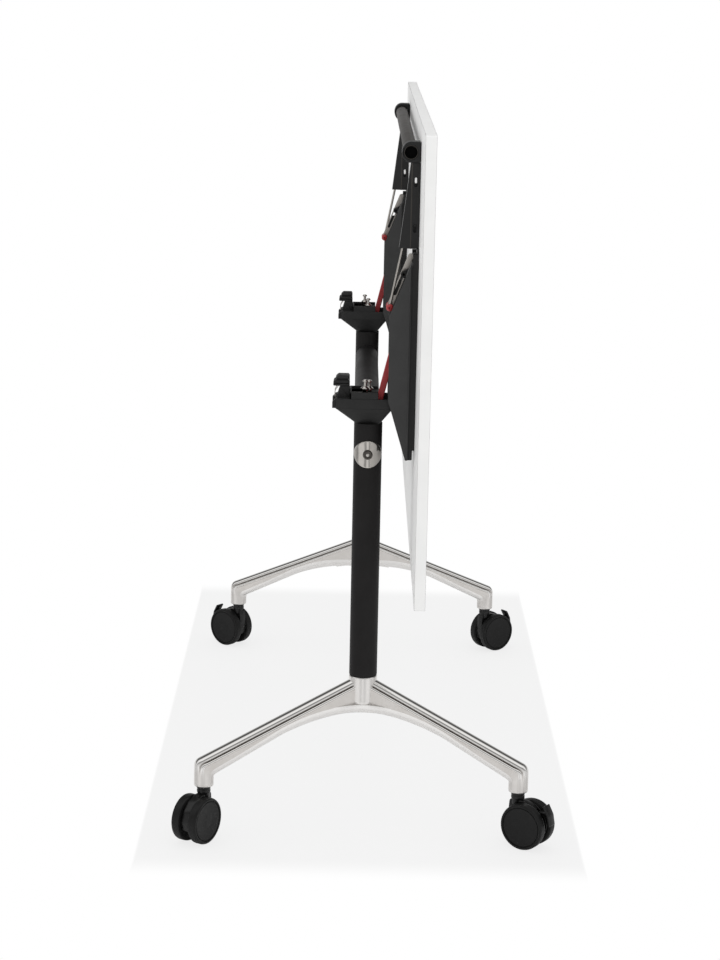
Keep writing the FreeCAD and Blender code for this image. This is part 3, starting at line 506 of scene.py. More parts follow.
SHEET = 3.0
BRACKET_X, BRACKET_FOOT, BRACKET_HEAD = 36.0, -101.0, 201.0
FLANGE_Y, FLANGE_FOOT, FLANGE_HEAD = -14.0, -116.0, 195.0
HINGE_EAR_R = 11.0
LINK_FOOT, LINK_WAY = np.array((-41.5, 112.0)), np.array((0.36650, 0.93042))
LINK_PIN = (-21.71, 162.24)
LINK_RUN, SLOT_FROM, SLOT_TO, BACKED_TO = 82, 21, 56, 41
ROD_HEAD = (-21.5, 215.0)
LEVER_FOOT, LEVER_HEAD = 201.4, 328.5
SLOT_Y, SLOT_UPPER, SLOT_LOWER, SLOT_RUN = -7.0, 304.0, 236.0, 8.3


def board():
    """Slab and its edging: a rectangle in X and Z, and a frame round it with softly broken edges."""
    band, corner, bite = 1.0, 2.6, 0.05
    (x0, y0, z0), (x1, y1, z1) = limits("edge_band")
    rim = oblong((x0, x1), (z0, z1))
    hole = rounded(inset(rim, band), corner - band)
    core = rounded(inset(rim, band - bite), corner - band)
    piece("board", [plate(core, y0, y1, 0.04, axes=XZ)], ["tabletop"])
    piece("board_edging", [plate(rounded(rim, corner), y0, y1, 0.7, [hole], XZ)], ["edge_band"])


def screw_heads():
    """Pan heads: a dome over a disc of radius R, less a cross-shaped recess that fades towards the rim."""
    radius, rise, dome_share = 4.5, 2.4, 0.92
    recess, half_width, reach, soft_side, soft_end = 1.3, 0.75, 2.9, 0.35, 0.5
    a = full_turn(48)
    share = np.append(1, np.linspace(1, 0.03, 16))[:, None]
    x, y = radius * share * np.cos(a), radius * share * np.sin(a)
    dome = rise * np.sqrt(np.clip(1 - dome_share * share ** 2, 0, 1))
    arm = np.clip((half_width - np.minimum(abs(x), abs(y))) / soft_side, 0, 1)
    arm = arm * np.clip((reach - np.hypot(x, y)) / soft_end, 0, 1)
    height = dome - recess * arm
    height[0] = 0
    cap = [lofted(np.stack([x, -height, y], -1))]
    on_bracket = [(side, z) for side in (-12, 12) for z in (-78, 130)]
    on_guide = [(0, 312), (0, 270)]
    return [moved(cap, (side, -SHEET, z))[0] for side, z in on_bracket + on_guide]


def bracket():
    """Folded channel under the top: plate, stepped side flanges, hinge cheeks, pin ears and an end flap."""
    half, back, step_y, toe_y = BRACKET_X - 0.1, -0.2, -9.0, -3.5
    cheek_x, pin_ear_x, flap_x = 21.0, 9.0, (5.0, 35.0)
    base = rounded(oblong((-half, half), (BRACKET_FOOT, BRACKET_HEAD)), 3)
    flange = rounded([(back, BRACKET_FOOT), (back, FLANGE_HEAD), (step_y, FLANGE_HEAD), (step_y, 185.8),
                      (FLANGE_Y, 173.1), (FLANGE_Y, FLANGE_FOOT), (toe_y, FLANGE_FOOT),
                      (toe_y, BRACKET_FOOT)], [1, 1, 1, 1, 4, 2.5, 1.5, 1], 4)
    flap = rounded(oblong((step_y, back), (FLANGE_HEAD - 2.5, FLANGE_HEAD)), 0.6)
    cheek = ear(HINGE_UNDER, HINGE_EAR_R, [(-2, 30), (-2, -30)])
    pin_ear = ear(LINK_PIN, 4.5, [(-2, 178.2), (-2, 146.2)])
    return [plate(base, -SHEET, 0, 0.5, axes=XZ), plate(flap, *flap_x, 0.4)] + both([
        plate(flange, BRACKET_X - SHEET, BRACKET_X, 0.6), plate(cheek, cheek_x, cheek_x + SHEET, 0.5),
        plate(pin_ear, pin_ear_x, pin_ear_x + SHEET, 0.4)])


def wing():
    """Six-sided covers each side of the bracket, with a sloping bridge below and two short ones above."""
    deep, back = -41.5, -10.0
    cover_x, bridge_x, gap_x = BRACKET_X + 0.4, BRACKET_X + 1, 17.0
    side = rounded([(deep, 103.5), (back, 183.47), (back, FLANGE_FOOT), (FLANGE_Y, FLANGE_FOOT), (-36, -43),
                    (deep, -26)], [3, 0.9, 0.9, 1.2, 14, 14], 6)
    lower = rounded([(-14.5, -114), (-29.5, -64.5), (-26.6, -63.7), (-11.7, -113.2)], 0.9)
    upper = rounded([(-18.8, 161.1), (-10.1, 183.3), (-7.4, 182.2), (-16.1, 160)], 0.9)
    return [plate(lower, -bridge_x, bridge_x, 0.5)] + both([
        plate(side, cover_x, cover_x + SHEET, 0.9, steps=4), plate(upper, gap_x, bridge_x, 0.5)])


def locking_arm():
    """Flat bar with round ends leaning into the head, and the foot that joins it to the bracket."""
    tip, root = (-52.8, -27.0), (-34.1, 51.0)
    half, foot_half, foot_rise = 3.6, 3.2, 5.0
    foot_z = (root[1] - foot_rise, root[1] + foot_rise)
    return [plate(capsule(tip, root, 4.8, 16), -half, half, 1.4, steps=5),
            bar((-foot_half, foot_half), (root[0], -SHEET), foot_z, 0.8, 1.5)]


def along_link(distance):
    """Point on the link's middle line at a distance from its foot."""
    return LINK_FOOT + distance * LINK_WAY


def slotted_link():
    """Flat bar with round ends, a slot and a pin hole."""
    half = 1.5
    slot = capsule(along_link(SLOT_FROM), along_link(SLOT_TO), 2.2, 10)
    return [plate(capsule(LINK_FOOT, along_link(LINK_RUN), 4.4, 16), -half, half, 0.35,
                  [slot, circle(LINK_FOOT, 2.65, 24)])]


def slot_backing():
    """Dark strip that closes the slot's lower part, below the run of the pin."""
    half = 0.7
    return [plate(capsule(along_link(SLOT_FROM), along_link(BACKED_TO), 2.3, 10), -half, half, 0.2)]


def knob():
    """Two dimpled balls on a cross pin, turned in one piece: arcs of the ball's radius down to the pin's."""
    radius, ball_x, dimple_x, dimple_r = 5.5, 13.0, 15.8, 1.9
    dimple_angle, neck_angle = 0.42, 0.47
    ball = arc((-ball_x, 0), radius, np.linspace(math.pi - dimple_angle, neck_angle, 22))
    ball = join([[(-dimple_x, 0.2), (-dimple_x, dimple_r)], ball])
    return [turned(both_ways(ball), (0, *LINK_FOOT), X, 40)]


def rod():
    """Round rod between two flat eyes."""
    beside, half, radius, eye_r, foot_bore, head_bore = 4.6, 2.4, 2.0, 3.9, 2.8, 2.05
    way = np.array((0, *ROD_HEAD)) - (0, *LINK_FOOT)
    shaft = [(3.2, radius), (np.linalg.norm(way) - 2.8, radius)]
    return [turned(shaft, (beside, *LINK_FOOT), way, 24)] + [
        plate(circle(end, eye_r), beside - half, beside + half, 0.5, [circle(end, bore)])
        for end, bore in ((LINK_FOOT, foot_bore), (ROD_HEAD, head_bore))]


def rod_pin():
    """Pin through the rod's upper eye, its ends inside the lever's folded sides."""
    half = 11.4
    return [turned(eased(pin_line(-half, half, 2), 0.3), (0, *ROD_HEAD), X, 24)]


def lever():
    """Folded lever: two slotted cheeks, and between them a hood that leans in from a crease down each side.

    The hood's section runs from crease to crease by way of a sloping web; the web's distance from the
    underside falls evenly towards the handle.  The way back is the same line drawn in by the wall.
    """
    cheek_x, crease_y, web_foot, web_head, rim = (15, 17), -12.0, -29.4, -14.5, 0.6
    cheek = rounded(oblong((-13.2, -0.4), (LEVER_FOOT, LEVER_HEAD)), 1)
    slots = [capsule((SLOT_Y, z - SLOT_RUN), (SLOT_Y, z), 2.4, 10) for z in (SLOT_UPPER, SLOT_LOWER)]
    z = np.array([LEVER_FOOT, LEVER_FOOT + rim, LEVER_HEAD - rim, LEVER_HEAD])[:, None]
    web = web_foot + (z - LEVER_FOOT) / (LEVER_HEAD - LEVER_FOOT) * (web_head - web_foot)
    x = np.array([16.4, 10.5, -10.5, -16.4, -14.4, -9.4, 9.4, 14.4])
    on_web = np.array([0, 1, 1, 0, 0, 1, 1, 0])
    wall = np.array([0, 0, 0, 0, 0.5, 1.8, 1.8, 0.5])
    y = on_web * (web - crease_y) + crease_y + wall
    cover = lofted(np.stack([x + 0 * y, y, z + 0 * y], -1))
    return [cover] + both([plate(cheek, *cheek_x, 0.5, slots)])


def painted_fold_highlights():
    """Rounded fold down each side of a lever, between cheek and hood, in a paler paint as a painted
    highlight.
    """
    line = eased(pin_line(LEVER_FOOT, LEVER_HEAD, 1.1, 0.2), 0.4)
    return both([turned(line, (16.3, -12.6, 0), Z, 20)])


def guide():
    """Channel under the lever, a plate and two low walls, with a pin across it at each slot."""
    half, wall, wall_y, run, pin_half = 12.0, 2.5, -11.0, (218, 322), 16.6
    pin = eased(pin_line(-pin_half, pin_half, 2.1), 0.7)
    return [bar((-half, half), (-SHEET, 0), run, 0.4, 2, XZ)] + both([
        bar((half - wall, half), (wall_y, 0), run, 0.5, 1.5)]) + [
        turned(pin, (0, SLOT_Y, z), X, 28) for z in (SLOT_UPPER, SLOT_LOWER)]


def guide_buttons():
    """Oblong white buttons outside the lever's cheeks: both ends of the upper pin, inner end of the lower."""
    near, far = 16.2, 18.0
    upper, lower = (capsule((SLOT_Y, z - 3.5), (SLOT_Y, z + 1.5), 1.7, 10) for z in (SLOT_UPPER, SLOT_LOWER))
    return both([plate(upper, near, far, 0.6)]) + [plate(lower, -far, -near, 0.6)]


def grip_block():
    """Bearing block: half an ellipse in front of a square back, bored for the tube."""
    half, nose, rise, back = 17.0, 13.4, 15.4, -0.5
    y, z = GRIP
    a = np.linspace(math.pi / 2, 3 * math.pi / 2, 30)
    front = np.stack([y + nose * np.cos(a), z + rise * np.sin(a)], 1)
    rear = eased([(y, z - rise), (back, z - rise), (back, z + rise), (y, z + rise)], 2)[1:-1]
    return [plate(join([front, rear]), -half, half, 1.2, [circle(GRIP, GRIP_R + 0.15, 48)], steps=4)]


def grip_tube():
    """Round tube with softly broken ends, bored at each for the plug."""
    bore, deep = GRIP_R - 1.0, GRIP_END - 12
    end = [(-deep, 0.4), (-deep, bore), (-GRIP_END, bore), (-GRIP_END, GRIP_R)]
    return moved([turned(eased(both_ways(end), 0.3), (0, *GRIP), X, 64)], (0, UNDERSIDE, HINGE[1]))


def grip_plug():
    """Dished cap just inside the tube's end."""
    end, radius = GRIP_END - LEG_X, GRIP_R - 1.05
    rim = end - 0.7
    cap = eased([(end - 10, radius), (rim, radius), (rim, radius - 1.4), (end - 2.6, radius - 2.2),
                 (end - 2.8, 0.3)], 0.3)
    return [turned(cap, (0, *GRIP), X, 48)]


# Legs

SOCKET, SOCKET_R = np.array((80.0, 241.0)), 15.0
ARM_RUN, ARM_FACE = np.linalg.norm(SOCKET), 13.0
RIDGE_FROM, RIDGE_HUB, RIDGE_END = 22.0, COLUMN_FOOT - 7.0, 132.0
FALL = (RIDGE_HUB - RIDGE_END) / (ARM_RUN - RIDGE_FROM)
ARCH, ARCH_R = COLUMN_FOOT - 56.5, 330.0
BAND, BAND_ROLL, BAND_STEP = 13.5, 6.0, 0.6
HEAD_X, HEAD_FRONT, HEAD_REAR, HEAD_FOOT, SLOT_X = 32.0, -50.0, 36.0, -15.0, 4.8
DECK_FRONT, KEEPER_FOOT = -29.0, 17.0


def column():
    """Tube with a rounded foot."""
    bore = 17
    line = eased(pin_line(COLUMN_FOOT, COLLAR, COLUMN_R, bore), [1, 2.5, 0.4, 1], 6)
    return [turned(line, (0, 0, 0), Z, 96)]


def ridge(s):
    """Height of an arm's upper line at a distance from the hub."""
    return RIDGE_HUB - FALL * (s - RIDGE_FROM)


def arch(s):
    """Height of the foot's arch at a distance from the hub: part of a circle."""
    return ARCH - ARCH_R + np.sqrt(ARCH_R ** 2 - s ** 2)


def arm_lines():
    """Upper and lower line of an arm in its own plane (distance from the hub, height), point by point.

    Straight part: each lower point is met by the upper point square to the ridge.  Corner: both lines are
    walked evenly, the upper one round the outer bend, the lower one round the inner bend, down to the socket.
    After the lines come the number of straight points and of corner points.
    """
    arm_depth, collar, inner_bend, outer_bend, count = 35.0, 12.0, 7.0, 13.0, 44
    lean = math.atan(FALL)
    square = np.array((math.sin(lean), math.cos(lean)))
    outer, inner = ARM_RUN + SOCKET_R, ARM_RUN - SOCKET_R
    arch_end = ARCH_R * math.sin(lean)
    arch_z, foot, level = arch(arch_end), ridge(inner) - arm_depth, MOUTH + collar
    lower = eased([(arch_end, arch_z), (inner, foot), (inner, level)], inner_bend, 10)
    s = np.linspace(-8, lower[1, 0], 80)
    slope = arch_z - (s - arch_end) * (arch_z - foot) / (inner - arch_end)
    low = np.stack([s, np.where(s < arch_end, arch(s), slope)], 1)
    depth = (ridge(s) - low[:, 1]) * math.cos(lean)
    top = low + depth[:, None] * square
    upper = eased([top[-1], (outer, ridge(outer)), (outer, level)], outer_bend, 16)
    top = join([top, evenly(upper, count)[1:]])
    low = join([low, evenly(lower[1:], count)[1:]])
    return top, low, len(s), count - 1


def cast_arm(across):
    """One arm of the foot: sections carried between the upper and lower line.

    A section has a half-round bead, an undercut groove coloured dark as painted shade, a smaller bead, a
    crease, a side with a little draft and a rounded lower band that is tall at the hub; n is measured from
    the arm's middle plane and q down from the ridge.  Round the corner it turns into a circle, each point
    going to its own angle from the top, and the circle runs down the socket to a rounded mouth.
    """
    mouth_r, bead_n, bead_q, rail_r, rail_n, rail_q, band_loss = 2.0, 10.3, 6.4, 2.8, 11.2, 11.6, 4.5
    top, low, straight, bend = arm_lines()
    lip = quarter_turn(6)[1:]
    drop = MOUTH + join([np.linspace(11, mouth_r, 4), mouth_r * (1 - np.sin(lip))])
    drawn = join([np.zeros(4), mouth_r * (1 - np.cos(lip))])
    top = join([top, np.stack([ARM_RUN + SOCKET_R - drawn, drop], 1)])
    low = join([low, np.stack([ARM_RUN - SOCKET_R + drawn, drop], 1)])
    t = join([np.zeros(straight), np.linspace(0, 1, bend + 1)[1:], np.ones(len(drop))])
    stage = smooth(t, 0.05, 0.9)[:, None]
    thin = join([np.zeros(straight + bend), drawn])[:, None]
    depth = np.linalg.norm(top - low, axis=1)[:, None]
    band = BAND - band_loss * smooth(top[:, :1], 60, 220)
    f, g, h = quarter_turn(12), np.radians(np.linspace(-40, 95, 9)), quarter_turn(8)
    n = join([bead_n * np.sin(f), [9.6, 9.4], rail_n + rail_r * np.sin(g), [13.2, 13.1, 13.1],
              ARM_FACE - BAND_ROLL * (1 - np.cos(h)), [2]])
    ridge_q = join([bead_q * (1 - np.cos(f)), [6.8, 8.6], rail_q - rail_r * np.cos(g), [12.6, 14.1]])
    q = join([0 * depth + ridge_q, depth - band - BAND_STEP, depth - band * (1 - np.sin(h)), depth], 1)
    turn = np.radians(join([f / f[-1] * 44, [45, 47], np.linspace(49, 76, 9), [79, 83, 118],
                            np.linspace(121, 152, 8), [173]]))
    n = n * (1 - stage) + (SOCKET_R - thin) * np.sin(turn) * stage
    q = q * (1 - stage) + depth * (1 - np.cos(turn)) / 2 * stage
    # polish of each point of a section; the groove's 0 gives it the dark colour of painted shade
    buffed = join([np.ones(len(f) - 1), [0.7, 0, 0, 0, 0.1], np.ones(len(g) - 2), [0.2, 0.3, 0.3],
                   np.full(len(h) + 1, 0.6)])
    buffed = buffed * (1 - stage) + 0.4 * stage
    n, q = join([n, -n[:, :0:-1]], 1), join([q, q[:, :0:-1]], 1)
    buffed = join([buffed, buffed[:, :0:-1]], 1)
    flat = top[:, None] + (q / depth)[..., None] * (low - top)[:, None]
    c, s = SOCKET / ARM_RUN * (1, across)
    points = np.stack([flat[..., 0] * c - n * s, flat[..., 0] * s + n * c, flat[..., 1]], -1)
    return lofted(points), buffed.ravel()


def cast_apron():
    """Lower band across the front of the hub: a parabola in plan that leaves each arm's face tangentially.

    The band follows the arch below and is rounded like the arms' own bands.
    """
    reach, back, shelf = 50.0, 4.0, 1.2
    slope, stretch = SOCKET[0] / SOCKET[1], ARM_RUN / SOCKET[1]
    y = np.linspace(-reach, reach, 61)[:, None]
    front = ARM_FACE * stretch + slope * reach / 2 + slope * y ** 2 / (2 * reach)
    h = quarter_turn(8)
    x = join([0 * y + back, front - shelf, front - BAND_ROLL * (1 - np.cos(h)), 0 * y + back], 1)
    z = arch(y * stretch) + join([[BAND + BAND_STEP] * 2, BAND * (1 - np.sin(h)), [0.0]])
    return lofted(np.stack([x, y + 0 * x, z], -1))


def cast_foot():
    """Two arms, the apron between them and the hub, a turned boss that ends in the arms' lower band."""
    hub_r, hub_buffed, apron_buffed = 21.8, 0.5, 0.6
    boss = [(ARCH + 4, 1), (ARCH + 4, 12), (ARCH + 9, 18), (ARCH + BAND, hub_r - 0.4),
            (ARCH + BAND + 4, hub_r), (COLUMN_FOOT - 1.2, hub_r), (COLUMN_FOOT, hub_r - 0.8),
            (COLUMN_FOOT, 10)]
    hub = turned(eased(boss, [1, 3, 6, 4, 4, 0.6, 0.6, 1]), (0, 0, 0), Z, 96)
    apron = cast_apron()
    (front, front_buffed), (rear, rear_buffed) = cast_arm(-1), cast_arm(1)
    return [hub, apron, front, rear], join([
        np.full(len(hub[0]), hub_buffed), np.full(len(apron[0]), apron_buffed), front_buffed, rear_buffed])


def head():
    """Head of one leg: a funnel from the round column to an oblong, a slotted band with a tray in it, a deck
    with low walls, a post that leans forward, two lips and two hinge ears."""
    tray_x, tray_front, tray_rear, lip_y, deck_rear = 29, -26, 33, -48, 14
    deck_x, deck_z, wall_x, wall_z = 30, (-16, 5.5), 31, (-1, 10)
    post_x, lip_x, cheek_x, bore = 13, (18, 26), (14, 20), 5.05
    plan = rounded(oblong((-HEAD_X, HEAD_X), (HEAD_FRONT, HEAD_REAR)), 6, 8)
    ring = arc((0, 0), COLUMN_R, np.arctan2(plan[:, 1], plan[:, 0]))
    t = np.array([0, 0.04, 0.5, 0.96, 1.0])
    plans = join([ring + (plan - ring) * t[:, None, None], [inset(plan, 2), inset(plan, 4)]])
    levels = join([(FUNNEL + HEAD_FOOT) * t - FUNNEL, [HEAD_FOOT, HEAD_FOOT - 2]])
    outer = both_ways([(SLOT_X, HEAD_REAR), (HEAD_X, HEAD_REAR), (HEAD_X, HEAD_FRONT)])
    inner = both_ways([(-SLOT_X, tray_rear), (-tray_x, tray_rear), (-tray_x, tray_front)])
    wall = rounded(join([outer, inner]), [1, 6, 6, 6, 6, 1, 1, 2, 2, 2, 2, 1])
    lip = rounded([(lip_y, HEAD_FOOT), (-55, HEAD_FOOT), (-55, -5.5), (HEAD_FRONT, -0.4), (lip_y, -0.4)],
                  [0.5, 1, 1.5, 1, 0.5])
    cheek = ear(HINGE_RIM, HINGE_EAR_R, [(HEAD_REAR, -12), (26, -12)])
    post = rounded([(DECK_FRONT, -2), (DECK_FRONT, KEEPER_FOOT), (-43, KEEPER_FOOT), (lip_y, 0.4),
                    (lip_y, -2)], [0.5, 1, 1, 0.5, 0.5])
    deck = [bar((-deck_x, deck_x), (DECK_FRONT, 5), deck_z, 0.4, 1),
            bar((-wall_x, wall_x), (DECK_FRONT, tray_front), wall_z, 0.6, 1)]
    deck += both([bar((SLOT_X, deck_x), (-28, deck_rear), deck_z, 0.4, 1),
                  bar((wall_x - 3, wall_x), (DECK_FRONT, deck_rear), wall_z, 0.6, 1)])
    return [lofted(stacked(plans, levels)), plate(wall, HEAD_FOOT, 0, 0.5, axes=XY),
            plate(post, -post_x, post_x, 0.8)] + deck + both([
                plate(lip, *lip_x, 0.8), plate(cheek, *cheek_x, 0.8, [circle(HINGE_RIM, bore, 28)])])


def keeper():
    """Ridged block: a rounded oblong drawn in at each groove, its front leaning back up its height."""
    half, front, lean = 14.0, -54.0, 6.0
    outline = rounded(oblong((-half, half), (front, DECK_FRONT)), 3)
    z = np.array([KEEPER_FOOT, 17.6, 19.8, 20.6, 21.5, 21.8, 24.4, 26.6, 27.9, 28.2, 30.2, 32.3, 32.7])
    drawn = [0.8, 0, 0, 2.6, 2.8, 0.2, 0.2, 2.6, 3.0, 0.3, 0.3, 2.2, 2.9]
    plans = np.stack([inset(outline, by) for by in drawn])
    back = smooth(z, 21, 34)[:, None] * lean
    plans[..., 1] += back * (plans[..., 1].max() - plans[..., 1]) / (DECK_FRONT - front)
    return [lofted(stacked(plans, z))]


def spring_strips():
    """Two thin strips that bow out from under the keeper to the foot of the post."""
    top_y, top_z, run, fall, bow, wall = -46.2, KEEPER_FOOT - 0.1, 5.0, 16.6, 2.8, (1.1, 0.2)
    middle, half = 9, 3
    t = np.linspace(0, 1, 12)
    line = np.stack([top_y - run * t - bow * np.sin(math.pi * t), top_z - fall * t], 1)
    outline = join([line, (line + wall)[::-1]])
    return [plate(outline, x - half, x + half, 0.2) for x in (-middle, middle)]


def studs():
    """Chromed studs: a flared skirt, a thin waist and a mushroom cap, all turned."""
    line = eased([(5.5, 1), (5.5, 4), (12, 4), (12.2, 6.5), (13.4, 6.4), (16.5, 2.3), (22.4, 2.2),
                  (22.8, 4.2), (24.4, 4.1), (26, 2.4), (26, 0.3)],
                 [0.5, 0.5, 0.2, 0.4, 0.8, 2, 0.3, 0.4, 0.8, 1, 1])
    return [turned(line, at, Z, 44) for at in ((10.5, -6, 0.8), (-10.5, 0.5, -3.2))]


def cross_tube():
    """Tube between the columns; each end follows the column: x = L - sqrt(R^2 - y^2)."""
    gap = 0.1
    y, z = circle((0, BAR_Z), BAR_R, 96).T
    end = LEG_X - np.sqrt((COLUMN_R + gap) ** 2 - y ** 2)
    t = np.linspace(-1, 1, 41)[:, None]
    return [lofted(np.stack([t * end, y + 0 * t, z + 0 * t], -1))]


def saddle():
    """Round washer on the column: rings about X laid on a cylinder of the column's radius, rim rounded."""
    a = full_turn(96)
    radius = np.array([5.0, 20.9, 21, 21, 20.7, 20.2, 19.4, 18.5, 14, 9, 5.0])[:, None]
    rise = np.array([0.15, 0.15, 0.4, 2.2, 2.75, 3.05, 3.15, 3.15, 3.15, 3.15, 3.15])[:, None]
    y, z = radius * np.cos(a), radius * np.sin(a)
    x = np.sqrt((COLUMN_R + rise) ** 2 - y ** 2)
    return [lofted(np.stack([x, y, BAR_Z + z], -1))]


def saddle_bolt():
    """Dark button head, turned, with a round well in it."""
    line = [(3, 0.4), (3, 7.5), (4.1, 7.5), (5.3, 7.2), (6.4, 6.4), (7, 5.4), (6.6, 4.7), (4.4, 4.6),
            (4.4, 0.4)]
    return [turned(eased(line, 0.3), (COLUMN_R, 0, BAR_Z), X, 56)]


def bolt_end():
    """Bright end of the bolt in its well: a low dome, an arc of a ball."""
    ball, top, foot = 5.0, 6.4, 4.2
    dome = arc((top - ball, 0), ball, np.linspace(0.5, 0.05, 12))
    line = join([[(foot, 0.3), (foot, dome[0, 1])], dome])
    return [turned(line, (COLUMN_R, 0, BAR_Z), X, 40)]


# Casters: x along the caster's heading from its swivel, y along the axle, z from the floor

TRAIL, HOOD_Y, WHEEL_Y = 19.0, 7.2, 22.5


def wheel():
    """Turned wheel: flat inner face, crowned tread, raised rim ring, thin groove and dished face."""
    inner, r = HOOD_Y + 0.4, WHEEL_R
    line = [(inner, 4.2), (inner, r - 4), (inner + 1, r - 0.5), (inner + 3.6, r), (WHEEL_Y - 3.4, r),
            (WHEEL_Y - 0.9, r - 0.8), (WHEEL_Y, r - 2.4), (WHEEL_Y - 0.2, r - 4.2), (WHEEL_Y - 1.9, r - 4.7),
            (WHEEL_Y - 1.9, r - 5.6), (WHEEL_Y - 0.7, r - 6.2), (WHEEL_Y - 0.9, r - 8.2), (WHEEL_Y - 1.7, 12),
            (WHEEL_Y - 1.5, 0.4)]
    round_by = [1, 2, 1.2, 3, 3, 1, 0.8, 0.3, 0.2, 0.2, 0.4, 2.5, 20, 1]
    return turned(eased(line, round_by, 5), (TRAIL, 0, r), Y, 96)


def hood(brake):
    """Body between the wheels: a rounded outline in the caster's own X and Z, and a turned swivel sleeve.

    Behind a brake pedal the body is cut short, and thin cheeks beside it keep the full outline.
    """
    sleeve_r, sleeve_top, core_y, cheek_y = 10.5, MOUTH - 0.4, 5.1, 4.9
    full = [(-9.5, 23), (-13, 36.5), (-12, 56), (-10.4, 73), (12.5, 73), (30, 67.3), (44, 55), (50, 36.5),
            (46.5, 23), (29.5, 23), (19, 29), (8.5, 23)]
    outline = rounded(full, [4, 12, 20, 4, 12, 18, 16, 12, 4, 5, 9, 5], 6)
    sleeve = turned(eased([(66, 3), (66, 9.7), (74, 9.7), (74.8, sleeve_r), (78.4, sleeve_r), (79, 9.9),
                           (80, 9.9), (80.6, sleeve_r), (sleeve_top, sleeve_r), (sleeve_top, 5.2)], 0.4),
                    (0, 0, 0), Z, 56)
    if not brake:
        return [plate(outline, -HOOD_Y, HOOD_Y, 1.6, axes=XZ, steps=4), sleeve]
    short = full[:5] + [(27, 68.6), (33.4, 63.5), (33.4, 49), (39, 43), (39, 23)] + full[-3:]
    core = rounded(short, [4, 12, 20, 4, 12, 3, 1.5, 2, 2, 2, 5, 9, 5], 5)
    cheek = [plate(outline, cheek_y, HOOD_Y, 0.8, axes=XZ)]
    return [plate(core, -core_y, core_y, 0.3, axes=XZ), sleeve] + cheek + flipped(cheek, 1)


def pedal():
    """Brake pedal: a tab of even thickness bent at its knee, a web and a trunnion.

    The tab is its outer line, carried inwards by the wall along the line's normal.
    """
    wall, half, web_half = 3.2, 8.4, 4.2
    centre = np.array((TRAIL, WHEEL_R))
    line = centre + [(32.0, 37.0), (40.0, 22.5), (43.0, 6.0)]
    way = np.gradient(line, axis=0)
    normal = unit(np.stack([way[:, 1], -way[:, 0]], 1))
    tab = rounded(join([line, (line + normal * wall)[::-1]]), [1.2, 4, 1.2, 1.2, 2, 1.2])
    pivot = centre + (22, 20)
    web = rounded(pivot + [(-2, -2.5), (16, -1), (16, 5), (-1, 4.5)], 1.5)
    at = (pivot[0], 0, pivot[1])
    return [plate(tab, -half, half, 0.5, axes=XZ), plate(web, -web_half, web_half, 0.6, axes=XZ),
            turned(pin_line(-web_half, web_half, 5, 0.4), at, Y, 32),
            turned(pin_line(-HOOD_Y, HOOD_Y, 2, 0.2), at, Y, 24)]


def set_caster(shells, side, across, heading):
    """Shells turned about Z to the caster's heading and moved to its socket."""
    a = math.radians(heading)
    spin = np.array([[math.cos(a), math.sin(a), 0], [-math.sin(a), math.cos(a), 0], [0, 0, 1]])
    socket = (side * (LEG_X + SOCKET[0]), across * SOCKET[1], 0)
    return [(points @ spin + socket, faces) for points, faces in shells]


# The pieces, each with its place and the node that it stands for, or its slot and body

board()
once("screw_heads", screw_heads(), UNDER, "underside_screws")
pair("folded_bracket", bracket(), UNDER, "hinge_bracket")
pair("wing", wing(), UNDER, "wing_cover")
pair("locking_arm", locking_arm(), UNDER, "lock_arm")
pair("latch_link", slotted_link(), UNDER, "slotted_link")
pair("slot_backing", slot_backing(), UNDER, slot="lever_steel", body="links")
pair("ball_knob", knob(), UNDER, "latch_knob")
pair("pull_rod", rod(), UNDER, "release_rod")
pair("folded_lever", lever(), UNDER, "release_lever")
pair("guide_channel", guide(), UNDER, "lever_guide")
# fold strips in the paler tube paint: a painted highlight down each lever's fold
pair("painted_fold_highlight", painted_fold_highlights(), UNDER, slot="handle_paint", body="handle")
pair("guide_button", guide_buttons(), UNDER, slot="white_edging", body="top")
once("rod_pin", rod_pin(), UNDER, "rod_pins")
pair("grip_block", grip_block(), UNDER, "handle_block")
piece("grip_tube", grip_tube(), ["handle_tube"])
once("grip_plugs", grip_plug(), UNDER, "handle_plugs")
pair("steel_column", column(), FLOOR, "column")
foot_shells, foot_buffed = cast_foot()
pair("cast_foot", foot_shells, FLOOR, "base", buffed=foot_buffed)
pair("cast_head", head(), RIM, "head")
pair("ridged_keeper", keeper(), RIM, "latch_keeper")
pair("spring_strip", spring_strips(), RIM, "keeper_strips")
once("chromed_studs", studs(), RIM, "head_screws")
piece("cross_tube", cross_tube(), ["crossbar"])
pair("saddle_washer", saddle(), FLOOR, "saddle_disc")
once("saddle_bolts", saddle_bolt(), FLOOR, "crossbar_bolts")
pair("bolt_end", bolt_end(), FLOOR, slot="chrome", body="root")
# Each caster: its leg, front or rear, and its heading in degrees
casters = {"right_front": (1, -1, -31.7), "right_rear": (1, 1, 56.0), "left_front": (-1, -1, -130.0),
           "left_rear": (-1, 1, 126.0)}
for corner, spot in casters.items():
    braked = corner != "right_front"
    made = {"twin_wheels": ([wheel()] + flipped([wheel()], 1), "caster_wheels"),
            "hood": (hood(braked), "caster_hood")}
    if braked:
        made["pedal"] = (pedal(), "caster_brake")
    for name, (shells, node) in made.items():
        piece(name + "_" + corner, set_caster(shells, *spot), [node + "_" + corner])


# Floor, light and camera, in metres

